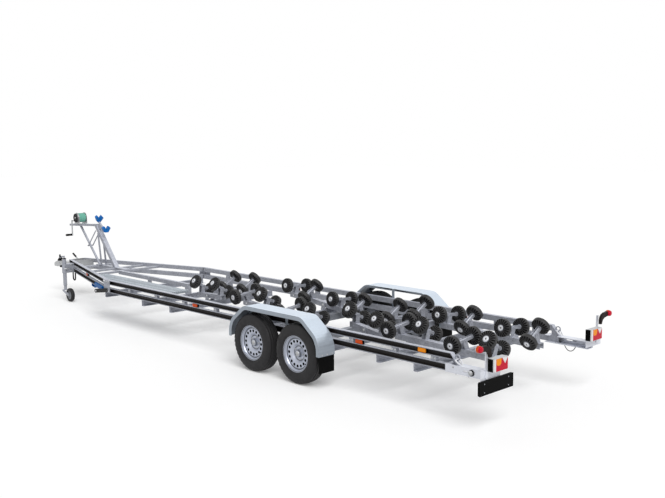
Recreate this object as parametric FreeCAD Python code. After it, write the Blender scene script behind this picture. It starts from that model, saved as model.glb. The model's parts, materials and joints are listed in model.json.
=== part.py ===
import FreeCAD
import Part
import math
import os

V = FreeCAD.Vector

# A long tandem-axle boat trailer with rocking roller cradles, in millimetres.
# +X is the right-hand side, +Y points forward to the coupling, +Z is up.
# Stations along Y are measured from the point midway between the two axles.
# The finished pieces are moved so that the origin is the bottom centre of the whole.

# Fits
SEAT = 0.3
RUNNING_GAP = 0.5

# Plan of the frame
RAIL_X = 860
UPPER_REAR = -2255
END_SLOPE = 90
BEND = 3917
NOSE_X = 150
NOSE = 6400

# Double-deck channel rails, open outwards
RAIL_TOP = 623
UPPER_HEIGHT = 60
DECK_GAP = 47
LOWER_HEIGHT = 65
CHANNEL_DEPTH = 50
CHANNEL_WALL = 5
JOINT_BACK = 10
JOINT_FRONT = 4

# Plates on the rails
PLATE = 6
CORNER_BACK = 110
CORNER_FRONT = 120
SPACER_LENGTH = 60
SPACER_INSET = 8
SPACER_STATIONS = (3300, 2640, 2000, 1330, 700, -560, -980, -1560, -2050)
EYE_RADIUS = 20
EYE_MARGIN = 9
EYE_LIFT = 17
EYE_THICKNESS = 10
TOW_EYE_LENGTH = 330
TOW_EYE_HEIGHT = 56
TOW_EYE_BACK = 50
TOW_EYE_DROP = 45

# Cross-beams under the lower rails
BEAM_HEIGHT = 78
BEAM_WIDTH = 50
BEAM_WALL = 4
FRONT_BEAM = 700
REAR_BEAM = -1840
BOW_BEAM = 2290
KEEL_BEAM = -680
CORNER_BEAM = BEND + 33
PLANK_BEAM = BOW_BEAM + 660
PLAIN_BEAM = -1360

# Walkway plank just inboard of the left rail
PLANK_INNER = 540
PLANK_REAR = BOW_BEAM + 40
PLANK_FRONT = BEND + 563
PLANK_THICKNESS = 30

# Cross-members between the drawbar arms, under the level of the plank, stations behind the nose
MEMBER_SETBACKS = (760, 1290, 1610)
MEMBER_WIDTH = 60
MEMBER_TOP = RAIL_TOP - PLANK_THICKNESS

# Keel beam left of the middle, from the rearmost member back to the plank's beam
KEEL_X = -130
KEEL_WIDTH = 50
KEEL_HEIGHT = 55
POST_SIDE = 12

# Road wheels
AXLE_SPACING = 735
TYRE_RADIUS = 325
TYRE_WIDTH = 175
TYRE_CLEARANCE = 42
TYRE_SHOULDER = 26
TYRE_CROWN = 4
SIDE_HEIGHT = 45
BEAD_RADIUS = 178
FLANGE_HEIGHT = 17
FLANGE_WIDTH = 8
RIM_WIDTH = 140
RIM_WALL = 6
DISC_OFFSET = 18
DISC_WALL = 8
DISH_RADIUS = 78
CAP_RADIUS = 46
CAP_HEIGHT = 30
VENT_RADIUS = 11
VENT_COUNT = 16
VENT_CIRCLE = 133
VENT_BAND = 34

# Axles
AXLE_TUBE = 78
AXLE_PAD = 12
AXLE_LEAD = 150
ARM_THICKNESS = 34
ARM_INSET = 4
ARM_HALF = 36
DRUM_RADIUS = 118
DRUM_WIDTH = 66
STUB_RADIUS = 22

# Fenders
FENDER_SIDE_GAP = 8
FENDER_RAIL_GAP = 2
FENDER_HEADROOM = 85
FENDER_SHEET = 3
OUTER_LIP = 45
INNER_LIP = 27
FENDER_FLAT = 112
FENDER_SHOULDER = (8, 170)
FENDER_KNEE = (58, 280)
FENDER_DROP = 380
FENDER_CURVE = 50
CURVE_STEPS = 3
STAY_WIDTH = 40
STAY_THICKNESS = 5

# Mudflaps
FLAP_OVERLAP = 30
FLAP_BOTTOM = 180
FLAP_THICKNESS = 8
FLAP_MARGIN = 6

# Rollers on their spindles
ROLLER_RADIUS = 93
ROLLER_WIDTH = 66
ROLLER_CHAMFER = 14
SPINDLE_RADIUS = 12
WASHER_RADIUS = 32
WASHER_WIDTH = 5
COLLAR_RADIUS = 26
LEVEL_SPACING = 330
TILTED_SPACING = 250
LEVEL_TILT = -7
TILTED_TILT = 31
SPINDLE_LINE = 636

# The arm between a pair's two rollers and its bracket on the rocker
PAIR_ARM_WIDTH = 44
PAIR_ARM_HEIGHT = 30
PAIR_ARM_WALL = 4
BRACKET_PLATE = 6
BRACKET_HALF = 30
BRACKET_TOP = 16
BOLT_RADIUS = 8
BOLT_PROUD = 8

# Rockers and the stands that carry their pivots
ROCKER_SHIFT = 35
INNER_ROCKER_SHIFT = 10
SPINDLE_ABOVE_PIVOT = 118
ROCKER_WIDTH = 70
ROCKER_HEIGHT = 60
ROCKER_WALL = 5
ROCKER_OVERHANG = 60
ROCKER_HOLE = 8
ROCKER_HOLE_PITCH = 105
PIVOT_RADIUS = 12
STAND_GAP = 5
STAND_PLATE = 8
STAND_WIDTH = 90
STAND_EYE = 24
STAND_FOOT = 6

# Winch stand, in the centre plane; stations are forward of the post's foot
POST_SETBACK = 1280
POST_HALF = 36
POST_DEPTH = 73
POST_RUN = 575
POST_TOP = 1250
BASE_BACK = 360
BASE_FRONT = 580
BASE_HALF = 45
BASE_THICKNESS = 8
STRUT_FOOT = 395
STRUT_TOP = (472, 1110)
STRUT_DEPTH = 46
STRAP = 8
BRACE_FOOT = 520
BRACE_TOP = 1145
BRACE_HALF = 15
TIE_LOW = (816, 872)
TIE_TOP = (540, 1150)
TIE_DEPTH = 25
PLATFORM_HALF = 38
PLATFORM_DEPTH = 33
PLATFORM_FRONT = 1435
PLATFORM_FALL = 43

# Bow stops on their arm
STOP_ARM_HALF = 14
STOP_ARM_DEPTH = 36
STOP_LENGTH = 65
STOP_WALL = 30
STOP_PLATE_AHEAD = 102
STOP_PLATE_RISE = 34
STOP_PLATE_DEPTH = 120
LOWER_STOP = (287, 1135)
UPPER_STOP = (520, 1300)
LOWER_STOP_TILT = 5
UPPER_STOP_TILT = 28

# Winch, station forward of the post's foot
WINCH_STATION = 1105
WINCH_ABOVE = 102
WINCH_HALF = 70
CHEEK_RADIUS = 85
CHEEK = 5
DRUM_CORE = 62
GEAR_RADIUS = 70
GEAR_WIDTH = 22
CRANK_AHEAD = 90
CRANK_DROP = 50
CRANK_LENGTH = 230
CRANK_X = 130
GRIP_LENGTH = 115

# Overrun coupling, stations forward of the nose
DRAW_Z = 500
HOUSING_BACK = 250
HOUSING_FRONT = 330
HOUSING_HALF = 48
HOUSING_HEIGHT = 120
NOSE_PLATE = 8
DRAWTUBE_RADIUS = 26
BELLOWS_RADIUS = 42
BELLOWS_COUNT = 4
BELLOWS_PITCH = 26
HEAD_BACK = 500
BALL_AHEAD = 720
TIP_AHEAD = 785
HEAD_HALF = 40
HEAD_BOTTOM = 430
BALL_RADIUS = 25.5

# Handbrake, stations forward of the nose
BRAKE_X = 74
BRAKE_POINTS = ((34, 527), (130, 614), (281, 687))
BRAKE_BAR = 10
BRAKE_DEPTH = 24
BRAKE_GRIP = 13

# Jockey wheel on the left arm
JOCKEY_SETBACK = 320
JOCKEY_REACH = 160
JOCKEY_TUBE = 30
JOCKEY_INNER_TUBE = 23.5
JOCKEY_SHOULDER = 250
JOCKEY_TOP = 690
JOCKEY_CRANK = 8
JOCKEY_CRANK_RISE = 30
JOCKEY_CRANK_LENGTH = 70
JOCKEY_GRIP = 11
JOCKEY_GRIP_LENGTH = 45
JOCKEY_RADIUS = 110
JOCKEY_WIDTH = 58
JOCKEY_TRAIL = 165
JOCKEY_LIFT = 180
FORK_RISE = 70
FORK_GAP = 6
FORK_PLATE = 5
FORK_PIN = 9
CLAMP_LOW = 455
CLAMP_HIGH = 600
CLAMP_WALL = 10

# Rear lights; the plate that carries a lamp stands behind the lower rail's end
LIGHT_REACH = 355
SLEEVE_OVERLAP = 145
SLEEVE_WALL = 6
SLEEVE_INNER = 770
ARM_SLOT = (55, 175)
ARM_SLOT_HALF = 5
CARRIER = 5
CARRIER_LOW = 465
CARRIER_TOP = 640
CARRIER_INNER = 725
WING_OUTER = 1010
WING_TOP = 570
LAMP_INNER = 706
LAMP_WIDTH = 207
LAMP_LOW = 545
LAMP_HEIGHT = 116
LAMP_DEPTH = 70
LAMP_ROUND = 12
STEM_X = 931
STEM_HALF = 15
STEM_TOP = 770
MARKER_RISE = 5
MARKER_HEAD_X = 1083
MARKER_RADIUS = 36
MARKER_DEPTH = 40
MARKER_ARM = 24
MARKER_ROOT = 88
BOARD_OUTER = 1050
BOARD_WIDTH = 494
BOARD_LOW = 350
BOARD_HEIGHT = 125
BOARD_DEPTH = 20
BOARD_LAP = 60
CABLE_RADIUS = 4
CABLE_BEND = 56
CABLE_STATION = -2470

# Side markers between the decks, and one in the upper channel
SIDE_MARKERS = (1750, -1090)
UPPER_MARKER = -1911
MARKER_LENGTH = 96
MARKER_FACE_INSET = 2
DRAW_MARKER_SETBACK = 1244

# Wheel chock under the left drawbar arm, and the breakaway loop ahead of it
CHOCK_BACK = BEND + 130
CHOCK_FRONT = BEND + 570
CHOCK_OUT = 34
HOLDER_BACK = BEND + 700
HOLDER_FRONT = BEND + 900
HOLDER_DEPTH = 44
LOOP_AHEAD = 145
LOOP_LENGTH = 200
LOOP_HALF = 38
LOOP_RADIUS = 8


def block(low, high):
    return Part.makeBox(high[0] - low[0], high[1] - low[1], high[2] - low[2], V(*low))


def prism(points, length):
    return Part.Face(Part.makePolygon(points + points[:1])).extrude(length)


def plan_prism(points, low, high):
    return prism([V(x, y, low) for x, y in points], V(0, 0, high - low))


def side_prism(points, left, right):
    return prism([V(left, y, z) for y, z in points], V(right - left, 0, 0))


def front_prism(points, back, front):
    return prism([V(x, back, z) for x, z in points], V(0, front - back, 0))


def rod(start, end, radius):
    return Part.makeCylinder(radius, (end - start).Length, start, end - start)


def turned(profile, centre, axis):
    """A solid of revolution: profile holds (distance along the axis, radius) pairs."""
    along = V(*axis)
    along.normalize()
    out = V(0, 0, 1) if abs(along.z) < 0.9 else V(1, 0, 0)
    out = (out - along * out.dot(along)).normalize()
    points = [centre + along * a + out * r for a, r in profile]
    return Part.Face(Part.makePolygon(points + points[:1])).revolve(centre, along, 360)


def mirrored(shape):
    return shape.mirror(V(0, 0, 0), V(1, 0, 0))


def both_sides(*shapes):
    return list(shapes) + [mirrored(shape) for shape in shapes]


def fused(shapes):
    return shapes[0].multiFuse(shapes[1:]).removeSplitter()


# The rails and the drawbar follow one bent line in plan

DRAW_ANGLE = math.atan2(RAIL_X - NOSE_X, NOSE - BEND)


def frame_x(y, depth=0):
    """X of the bent line, moved inboard by depth, at station y."""
    drawn = RAIL_X - (y - BEND) * math.tan(DRAW_ANGLE) - depth / math.cos(DRAW_ANGLE)
    return min(RAIL_X - depth, drawn)


def edge(depth, back, front):
    """The bent line moved inboard by depth, as plan points from back to front."""
    corner = BEND - depth * math.tan(DRAW_ANGLE / 2)
    stations = [back, corner, front] if back < corner < front else [back, front]
    return [(frame_x(y, depth), y) for y in stations]


def strip(depth_out, depth_in, back, front):
    """Plan outline of the band between two depths, from back to front."""
    return edge(depth_out, back, front) + edge(depth_in, back, front)[::-1]


def channel(low, height, back, front):
    """A channel that opens outwards, along the bent line."""
    solid = plan_prism(strip(0, CHANNEL_DEPTH, back, front), low, low + height)
    hollow = strip(-1, CHANNEL_DEPTH - CHANNEL_WALL, back - 1, front + 1)
    return solid.cut(plan_prism(hollow, low + CHANNEL_WALL, low + height - CHANNEL_WALL))


UPPER_LOW = RAIL_TOP - UPPER_HEIGHT
LOWER_TOP = UPPER_LOW - DECK_GAP
LOWER_LOW = LOWER_TOP - LOWER_HEIGHT
BEAM_LOW = LOWER_LOW - BEAM_HEIGHT
LOWER_REAR = UPPER_REAR - END_SLOPE


def rails(low, height, rear):
    straight = channel(low, height, rear, BEND - JOINT_BACK)
    return both_sides(straight, channel(low, height, BEND + JOINT_FRONT, NOSE))


# The rear end of each side is closed by a sloping plate with a lashing eye

EYE_Y = (UPPER_REAR + LOWER_REAR) / 2 - EYE_LIFT
EYE_Z = (RAIL_TOP + LOWER_TOP) / 2 + EYE_LIFT
EYE_X = RAIL_X - CHANNEL_DEPTH / 2


def end_plate():
    """The sloping cover, the web that joins both rails behind it, and the lashing eye."""
    inner = RAIL_X - CHANNEL_DEPTH
    lap = PLATE * 1.4
    web = side_prism([(UPPER_REAR, RAIL_TOP), (LOWER_REAR, LOWER_TOP), (UPPER_REAR, LOWER_TOP)],
                     inner, inner + PLATE)
    cover = side_prism([(UPPER_REAR, RAIL_TOP), (LOWER_REAR, LOWER_TOP), (LOWER_REAR + lap, LOWER_TOP),
                        (UPPER_REAR, RAIL_TOP - lap)], inner, RAIL_X)
    lug = rod(V(EYE_X - EYE_THICKNESS / 2, EYE_Y, EYE_Z), V(EYE_X + EYE_THICKNESS / 2, EYE_Y, EYE_Z),
              EYE_RADIUS + EYE_MARGIN)
    hole = rod(V(EYE_X - EYE_THICKNESS, EYE_Y, EYE_Z), V(EYE_X + EYE_THICKNESS, EYE_Y, EYE_Z), EYE_RADIUS)
    return fused([web, cover, lug]).cut(hole)


def tow_eye():
    """A flat bar with an eye at its front end, on the left corner plate."""
    back, front = BEND - TOW_EYE_BACK, BEND - TOW_EYE_BACK + TOW_EYE_LENGTH
    middle = (LOWER_LOW + LOWER_TOP) / 2
    half = TOW_EYE_HEIGHT / 2
    bar = side_prism([(back, middle - half), (front, middle - half - TOW_EYE_DROP),
                      (front, middle + half - TOW_EYE_DROP), (back, middle + half)],
                     -RAIL_X - PLATE - EYE_THICKNESS, -RAIL_X - PLATE)
    centre = V(-RAIL_X - PLATE, front, middle - TOW_EYE_DROP)
    end = rod(centre - V(EYE_THICKNESS, 0, 0), centre, half)
    hole = rod(centre - V(EYE_THICKNESS + 1, 0, 0), centre + V(1, 0, 0), EYE_RADIUS)
    return bar.fuse(end).cut(hole)


def rail_plates():
    corner = plan_prism(strip(-PLATE, 0, BEND - CORNER_BACK, BEND + CORNER_FRONT), LOWER_LOW, RAIL_TOP)
    spacers = [block((RAIL_X - CHANNEL_DEPTH, y - SPACER_LENGTH / 2, LOWER_TOP),
                     (RAIL_X - SPACER_INSET, y + SPACER_LENGTH / 2, UPPER_LOW)) for y in SPACER_STATIONS]
    return [corner, fused([mirrored(corner), tow_eye()]), jockey_clamp()] + both_sides(end_plate(), *spacers)


def cross_beam(y):
    """A C-section beam, open to the rear, with its ends flush with the frame's outer line."""
    back, front = y - BEAM_WIDTH / 2, y + BEAM_WIDTH / 2
    outline = [(-frame_x(back), back), (frame_x(back), back), (frame_x(front), front), (-frame_x(front), front)]
    hollow = block((-RAIL_X - 1, back - 1, BEAM_LOW + BEAM_WALL),
                   (RAIL_X + 1, front - BEAM_WALL, LOWER_LOW - BEAM_WALL))
    return plan_prism(outline, BEAM_LOW, LOWER_LOW).cut(hollow)


def between_arms(y, width, low, high):
    """A member across the drawbar, its ends flat against the two arms."""
    back, front = y - width / 2, y + width / 2
    half_back, half_front = frame_x(back, CHANNEL_DEPTH), frame_x(front, CHANNEL_DEPTH)
    outline = [(-half_back, back), (half_back, back), (half_front, front), (-half_front, front)]
    return plan_prism(outline, low, high)


def keel_beam():
    """The keel beam from the rearmost member, over the corner beam, to its post on the plank's beam."""
    left, right = KEEL_X - KEEL_WIDTH / 2, KEEL_X + KEEL_WIDTH / 2
    low = MEMBER_TOP - KEEL_HEIGHT
    rear = PLANK_BEAM - BEAM_WIDTH / 2
    front = NOSE - max(MEMBER_SETBACKS)
    beam = block((left, rear, low), (right, front, MEMBER_TOP))
    post = block((left - POST_SIDE, rear, LOWER_LOW - 1), (right + POST_SIDE, rear + BEAM_WIDTH, MEMBER_TOP))
    slot = block((left, rear + BEAM_WALL, LOWER_LOW - 2), (right, rear + BEAM_WIDTH + 1, low))
    bracket = block((left, CORNER_BEAM - PLATE, LOWER_LOW - 1),
                    (right + POST_SIDE, CORNER_BEAM + PLATE, low + 1))
    return fused([beam, post.cut(slot), bracket])


# Roller cradles: each rocker carries pairs of rollers on spindles

class Pair:
    """A pair of rollers: where its spindle's middle is, how it tilts and its spacing."""

    def __init__(self, name, middle, tilt, spacing):
        self.name = name
        self.middle = middle
        angle = math.radians(tilt)
        outboard = 1 if middle.x > 0 else -1
        self.axis = V(outboard * math.cos(angle), 0, math.sin(angle))
        self.up = V(-outboard * math.sin(angle), 0, math.cos(angle))
        self.inner_end = spacing / 2 - ROLLER_WIDTH / 2
        self.outer_end = spacing / 2 + ROLLER_WIDTH / 2

    def rollers(self):
        bore = SPINDLE_RADIUS + RUNNING_GAP
        start, end, shoulder = self.inner_end, self.outer_end, ROLLER_RADIUS - ROLLER_CHAMFER
        profile = [(start, bore), (start, shoulder), (start + ROLLER_CHAMFER, ROLLER_RADIUS),
                   (end - ROLLER_CHAMFER, ROLLER_RADIUS), (end, shoulder), (end, bore)]
        return [turned(profile, self.middle, self.axis * way) for way in (1, -1)]

    def along(self, reach):
        return self.middle + self.axis * reach

    def slab(self, reach, half_width, low, high):
        """A box on the spindle's line: half its length, half its width along Y, and two heights."""
        side = V(0, half_width, 0)
        start = self.along(-reach) + self.up * low
        return prism([start - side, start + side, start + side + self.up * (high - low),
                      start - side + self.up * (high - low)], self.axis * (2 * reach))

    def carriage(self):
        """The spindle, its end washers and collars, and the upward-open arm between the rollers."""
        reach = self.inner_end - RUNNING_GAP
        half, low, high = PAIR_ARM_WIDTH / 2, -PAIR_ARM_HEIGHT / 2, PAIR_ARM_HEIGHT / 2
        arm = self.slab(reach, half, low, high)
        hollow = self.slab(reach - PAIR_ARM_WALL, half - PAIR_ARM_WALL, low + PAIR_ARM_WALL, high + 1)
        seat = self.outer_end + RUNNING_GAP
        pieces = [arm.cut(hollow), rod(self.along(-seat - 1), self.along(seat + 1), SPINDLE_RADIUS)]
        for way in (1, -1):
            pieces.append(rod(self.along(way * seat), self.along(way * (seat + WASHER_WIDTH)), WASHER_RADIUS))
            pieces.append(rod(self.along(way * (reach - WASHER_WIDTH)), self.along(way * reach), COLLAR_RADIUS))
        return pieces


class Rocker:
    """A channel beam on a pivot, with a bracket and a spindle for each pair."""

    def __init__(self, name, x, y, pitch, pairs):
        self.name = name
        self.x = x
        self.y = y
        self.slope = math.tan(math.radians(pitch))
        self.pairs = pairs
        self.pivot = V(x, y, SPINDLE_LINE - SPINDLE_ABOVE_PIVOT)
        self.back = min(pair.middle.y for pair in pairs) - ROCKER_OVERHANG
        self.front = max(pair.middle.y for pair in pairs) + ROCKER_OVERHANG

    def level(self, y):
        return self.pivot.z + (y - self.y) * self.slope

    def bar(self, back, front, half_width, bottom, top):
        """A bar along the rocker's slope."""
        return side_prism([(back, self.level(back) + bottom), (front, self.level(front) + bottom),
                           (front, self.level(front) + top), (back, self.level(back) + top)],
                          self.x - half_width, self.x + half_width)

    def bracket(self, pair):
        """Two plates that hold a pair's arm over the rocker, and their bolt."""
        y, top = pair.middle.y, pair.middle.z
        pieces = []
        for way in (1, -1):
            near = y + way * PAIR_ARM_WIDTH / 2
            far = near + way * BRACKET_PLATE
            foot = self.level(far) + ROCKER_HEIGHT / 2 - ROCKER_WALL / 2
            outline = [(self.x - BRACKET_HALF, foot), (self.x + BRACKET_HALF, foot),
                       (pair.middle.x + BRACKET_HALF, top), (pair.middle.x + BRACKET_HALF / 2, top + BRACKET_TOP),
                       (pair.middle.x - BRACKET_HALF / 2, top + BRACKET_TOP), (pair.middle.x - BRACKET_HALF, top)]
            pieces.append(front_prism(outline, *sorted((near, far))))
        reach = V(0, PAIR_ARM_WIDTH / 2 + BRACKET_PLATE + BOLT_PROUD, 0)
        return pieces + [rod(pair.middle - reach, pair.middle + reach, BOLT_RADIUS)]

    def holes(self):
        """The row of adjustment holes through both side walls, clear of the pivot's pin."""
        across = V(ROCKER_WIDTH / 2 + 1, 0, 0)
        rods = []
        for way in (-1, 1):
            y = self.y + way * ROCKER_HOLE_PITCH / 2
            while self.back + 2 * ROCKER_HOLE < y < self.front - 2 * ROCKER_HOLE:
                at = V(self.x, y, self.level(y))
                rods.append(rod(at - across, at + across, ROCKER_HOLE))
                y += way * ROCKER_HOLE_PITCH
        return Part.makeCompound(rods)

    def body(self):
        half = ROCKER_WIDTH / 2
        height = ROCKER_HEIGHT / 2
        shell = self.bar(self.back, self.front, half, -height, height)
        hollow = self.bar(self.back - 1, self.front + 1, half - ROCKER_WALL, -height - 1, height - ROCKER_WALL)
        reach = V(half + STAND_GAP + STAND_PLATE, 0, 0)
        pin = rod(self.pivot - reach, self.pivot + reach, PIVOT_RADIUS)
        pieces = [shell.cut(hollow).cut(self.holes()), pin]
        for pair in self.pairs:
            pieces += pair.carriage() + self.bracket(pair)
        return fused(pieces)

    def stand(self):
        """The pivot's two ears on their foot, which stands on a cross-beam."""
        pieces = []
        for way in (-1, 1):
            inner = self.x + way * (ROCKER_WIDTH / 2 + STAND_GAP)
            left, right = sorted((inner, inner + way * STAND_PLATE))
            outline = [(self.y - STAND_WIDTH / 2, LOWER_LOW), (self.y + STAND_WIDTH / 2, LOWER_LOW),
                       (self.y + STAND_EYE, self.pivot.z), (self.y - STAND_EYE, self.pivot.z)]
            start, end = V(left, self.y, self.pivot.z), V(right, self.y, self.pivot.z)
            eye = rod(start, end, STAND_EYE)
            bore = rod(start - V(1, 0, 0), end + V(1, 0, 0), PIVOT_RADIUS + RUNNING_GAP)
            pieces.append(side_prism(outline, left, right).fuse(eye).cut(bore))
        reach = ROCKER_WIDTH / 2 + STAND_GAP + STAND_PLATE
        pieces.append(block((self.x - reach, self.y - STAND_WIDTH / 2, LOWER_LOW),
                            (self.x + reach, self.y + STAND_WIDTH / 2, LOWER_LOW + STAND_FOOT)))
        return pieces


def outer_rocker(place, side, x, beam, pitch, offsets):
    """A long rocker over its beam: a level pair and a tilted pair behind it, twice over."""
    name = place + "_" + ("left" if side < 0 else "right")
    slope = math.tan(math.radians(pitch))
    pairs = []
    for index, (front, back) in enumerate(offsets):
        for kind, offset, shift, tilt, spacing in (("level", front, ROCKER_SHIFT, LEVEL_TILT, LEVEL_SPACING),
                                                   ("tilted", back, -ROCKER_SHIFT, TILTED_TILT, TILTED_SPACING)):
            middle = V(side * (x + shift), beam + offset, SPINDLE_LINE + offset * slope)
            pairs.append(Pair(f"{name}_{kind}_{index + 1}", middle, tilt, spacing))
    return Rocker(name, side * x, beam, pitch, pairs)


def inner_rocker(place, side, x, beam, pitch, offsets):
    """A short rocker over its beam, with two tilted pairs."""
    name = place + "_" + ("left" if side < 0 else "right")
    slope = math.tan(math.radians(pitch))
    pairs = [Pair(f"{name}_{index + 1}", V(side * x, beam + offset, SPINDLE_LINE + offset * slope),
                  TILTED_TILT, TILTED_SPACING) for index, offset in enumerate(offsets)]
    return Rocker(name, side * (x + INNER_ROCKER_SHIFT), beam, pitch, pairs)


ROCKERS = []
for hand in (-1, 1):
    ROCKERS.append(outer_rocker("cradle_front", hand, 385, FRONT_BEAM, 5, ((577, 241), (-257, -614))))
    ROCKERS.append(outer_rocker("cradle_rear", hand, 370, REAR_BEAM, 1.5, ((610, 295), (-205, -520))))
    ROCKERS.append(inner_rocker("bow_cradle", hand, 228, BOW_BEAM, -2, (177, -243)))
    ROCKERS.append(inner_rocker("keel_cradle", hand, 305, KEEL_BEAM, 8 if hand < 0 else -12, (162, -230)))


# Road wheels and axles

TYRE_INNER_X = RAIL_X + TYRE_CLEARANCE
TYRE_OUTER_X = TYRE_INNER_X + TYRE_WIDTH
WHEEL_X = TYRE_INNER_X + TYRE_WIDTH / 2
WHEELS = {}
for hand, side_name in ((-1, "left"), (1, "right")):
    for way, end_name in ((1, "front"), (-1, "rear")):
        WHEELS[f"{end_name}_{side_name}"] = V(hand * WHEEL_X, way * AXLE_SPACING / 2, TYRE_RADIUS)


def tyre(centre):
    half = TYRE_WIDTH / 2
    crown = TYRE_RADIUS - TYRE_CROWN
    side = [(RIM_WIDTH / 2, BEAD_RADIUS + SEAT), (half, BEAD_RADIUS + SIDE_HEIGHT),
            (half, crown - TYRE_SHOULDER), (half - TYRE_SHOULDER * 0.6, crown),
            (half - TYRE_SHOULDER * 1.8, TYRE_RADIUS)]
    return turned([(-a, r) for a, r in side] + side[::-1], centre, (1, 0, 0))


def rim(centre):
    """A pressed steel wheel: the barrel, and a dished disc with vent holes and a hub cap."""
    out = 1 if centre.x > 0 else -1
    half = RIM_WIDTH / 2
    flange = half + FLANGE_WIDTH
    rim_radius = BEAD_RADIUS + FLANGE_HEIGHT
    band = VENT_CIRCLE + VENT_BAND
    barrel = [(-flange, rim_radius), (-half, BEAD_RADIUS), (half, BEAD_RADIUS), (flange, rim_radius),
              (flange, rim_radius - RIM_WALL), (half - VENT_BAND, band - RIM_WALL), (-half, band - RIM_WALL),
              (-flange, rim_radius - RIM_WALL)]
    back, face = DISC_OFFSET, DISC_OFFSET + CAP_HEIGHT
    disc = [(back - DISC_WALL, 0), (back - DISC_WALL, DISH_RADIUS - 4),
            (face - 2 * DISC_WALL, VENT_CIRCLE - VENT_BAND),
            (face - DISC_WALL, VENT_CIRCLE - VENT_BAND / 2), (face - DISC_WALL, band), (face, band),
            (face, VENT_CIRCLE - VENT_BAND / 2), (face - DISC_WALL, VENT_CIRCLE - VENT_BAND),
            (back, DISH_RADIUS), (back, CAP_RADIUS), (face, CAP_RADIUS - DISC_WALL), (face, 0)]
    holes = []
    for index in range(VENT_COUNT):
        angle = 2 * math.pi * index / VENT_COUNT
        at = centre + V(0, VENT_CIRCLE * math.cos(angle), VENT_CIRCLE * math.sin(angle))
        holes.append(rod(at, at + V(out * 2 * face, 0, 0), VENT_RADIUS))
    wheel = turned(barrel, centre, (out, 0, 0)).fuse(turned(disc, centre, (out, 0, 0)))
    return wheel.cut(Part.makeCompound(holes))


def axle(station):
    """A square tube under pads, ahead of its wheels, with a trailing arm, drum and stub at each end."""
    half = AXLE_TUBE / 2
    tube_y = station + AXLE_LEAD
    tube_top = LOWER_LOW - AXLE_PAD
    tube_z = tube_top - half
    end = RAIL_X - ARM_THICKNESS - ARM_INSET
    inner_rail = RAIL_X - CHANNEL_DEPTH
    pieces = [block((-end, tube_y - half, tube_z - half), (end, tube_y + half, tube_top))]
    drop = V(0, -AXLE_LEAD, TYRE_RADIUS - tube_z)
    normal = V(0, -drop.z, drop.y).normalize() * ARM_HALF
    for side in (-1, 1):
        across = V(side * ARM_THICKNESS, 0, 0)
        inner = V(side * end, tube_y, tube_z)
        stub = inner + across + drop
        left, right = sorted((side * inner_rail, side * end))
        pieces.append(block((left, tube_y - half, tube_top - 1), (right, tube_y + half, LOWER_LOW)))
        arm = [inner + normal, inner + drop + normal, inner + drop - normal, inner - normal]
        pieces.append(prism(arm, across))
        pieces += [rod(inner, inner + across, ARM_HALF), rod(inner + drop, stub, ARM_HALF)]
        pieces.append(rod(stub, stub + V(side * DRUM_WIDTH, 0, 0), DRUM_RADIUS))
        hub = V(side * (WHEEL_X + DISC_OFFSET - DISC_WALL - SEAT), station, TYRE_RADIUS)
        pieces.append(rod(stub, hub, STUB_RADIUS))
    return fused(pieces)


def inset(points, distance):
    """An open outline in the Y-Z plane moved inwards, with its corners kept sharp."""
    moved = []
    for index, (y, z) in enumerate(points):
        normals = []
        for a, b in ((index - 1, index), (index, index + 1)):
            if a >= 0 and b < len(points):
                dy, dz = points[b][0] - points[a][0], points[b][1] - points[a][1]
                length = math.hypot(dy, dz)
                normals.append((dz / length, -dy / length))
        ny = sum(n[0] for n in normals) / len(normals)
        nz = sum(n[1] for n in normals) / len(normals)
        scale = distance / (ny * ny + nz * nz)
        moved.append((y + ny * scale, z + nz * scale))
    return moved


FENDER_INNER = RAIL_X + FENDER_RAIL_GAP
FENDER_OUTER = TYRE_OUTER_X + FENDER_SIDE_GAP
FENDER_TOP = 2 * TYRE_RADIUS + FENDER_HEADROOM
FENDER_END = FENDER_TOP - FENDER_DROP
WHEELS_END = AXLE_SPACING / 2 + TYRE_RADIUS
FENDER_END_Y = WHEELS_END + FENDER_KNEE[0]


def rounded(points, cut):
    """An open outline whose inner corners become curves that start and end at cut from the corner."""
    outline = [points[0]]
    for before, (y, z), after in zip(points, points[1:], points[2:]):
        ends = []
        for other in (before, after):
            share = cut / math.hypot(other[0] - y, other[1] - z)
            ends.append((y + (other[0] - y) * share, z + (other[1] - z) * share))
        for step in range(CURVE_STEPS + 1):
            t = step / CURVE_STEPS
            outline.append(tuple((1 - t) ** 2 * a + 2 * t * (1 - t) * b + t * t * c
                                 for a, b, c in zip(ends[0], (y, z), ends[1])))
    return outline + [points[-1]]


def fender_outline():
    front = [(AXLE_SPACING / 2 + FENDER_FLAT, FENDER_TOP),
             (WHEELS_END + FENDER_SHOULDER[0], FENDER_TOP - FENDER_SHOULDER[1]),
             (FENDER_END_Y, FENDER_TOP - FENDER_KNEE[1]), (FENDER_END_Y, FENDER_END)]
    return rounded([(-y, z) for y, z in reversed(front)] + front, FENDER_CURVE)


def fender():
    """Folded sheet with a deep lip outside, a shallow one inside and a stay between the wheels."""
    outline = fender_outline()

    def band(depth, left, right):
        return side_prism(outline + inset(outline, depth)[::-1], left, right)

    stay = block((RAIL_X, -STAY_WIDTH / 2, LOWER_LOW),
                 (RAIL_X + STAY_THICKNESS, STAY_WIDTH / 2, FENDER_TOP - 1))
    return fused([band(FENDER_SHEET, FENDER_INNER, FENDER_OUTER),
                  band(OUTER_LIP, FENDER_OUTER - FENDER_SHEET, FENDER_OUTER),
                  band(INNER_LIP, FENDER_INNER, FENDER_INNER + FENDER_SHEET), stay])


def mudflap():
    y = -FENDER_END_Y + FENDER_SHEET + SEAT
    return block((FENDER_INNER + FLAP_MARGIN, y, FLAP_BOTTOM),
                 (FENDER_OUTER - FLAP_MARGIN, y + FLAP_THICKNESS, FENDER_END + FLAP_OVERLAP))


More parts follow.
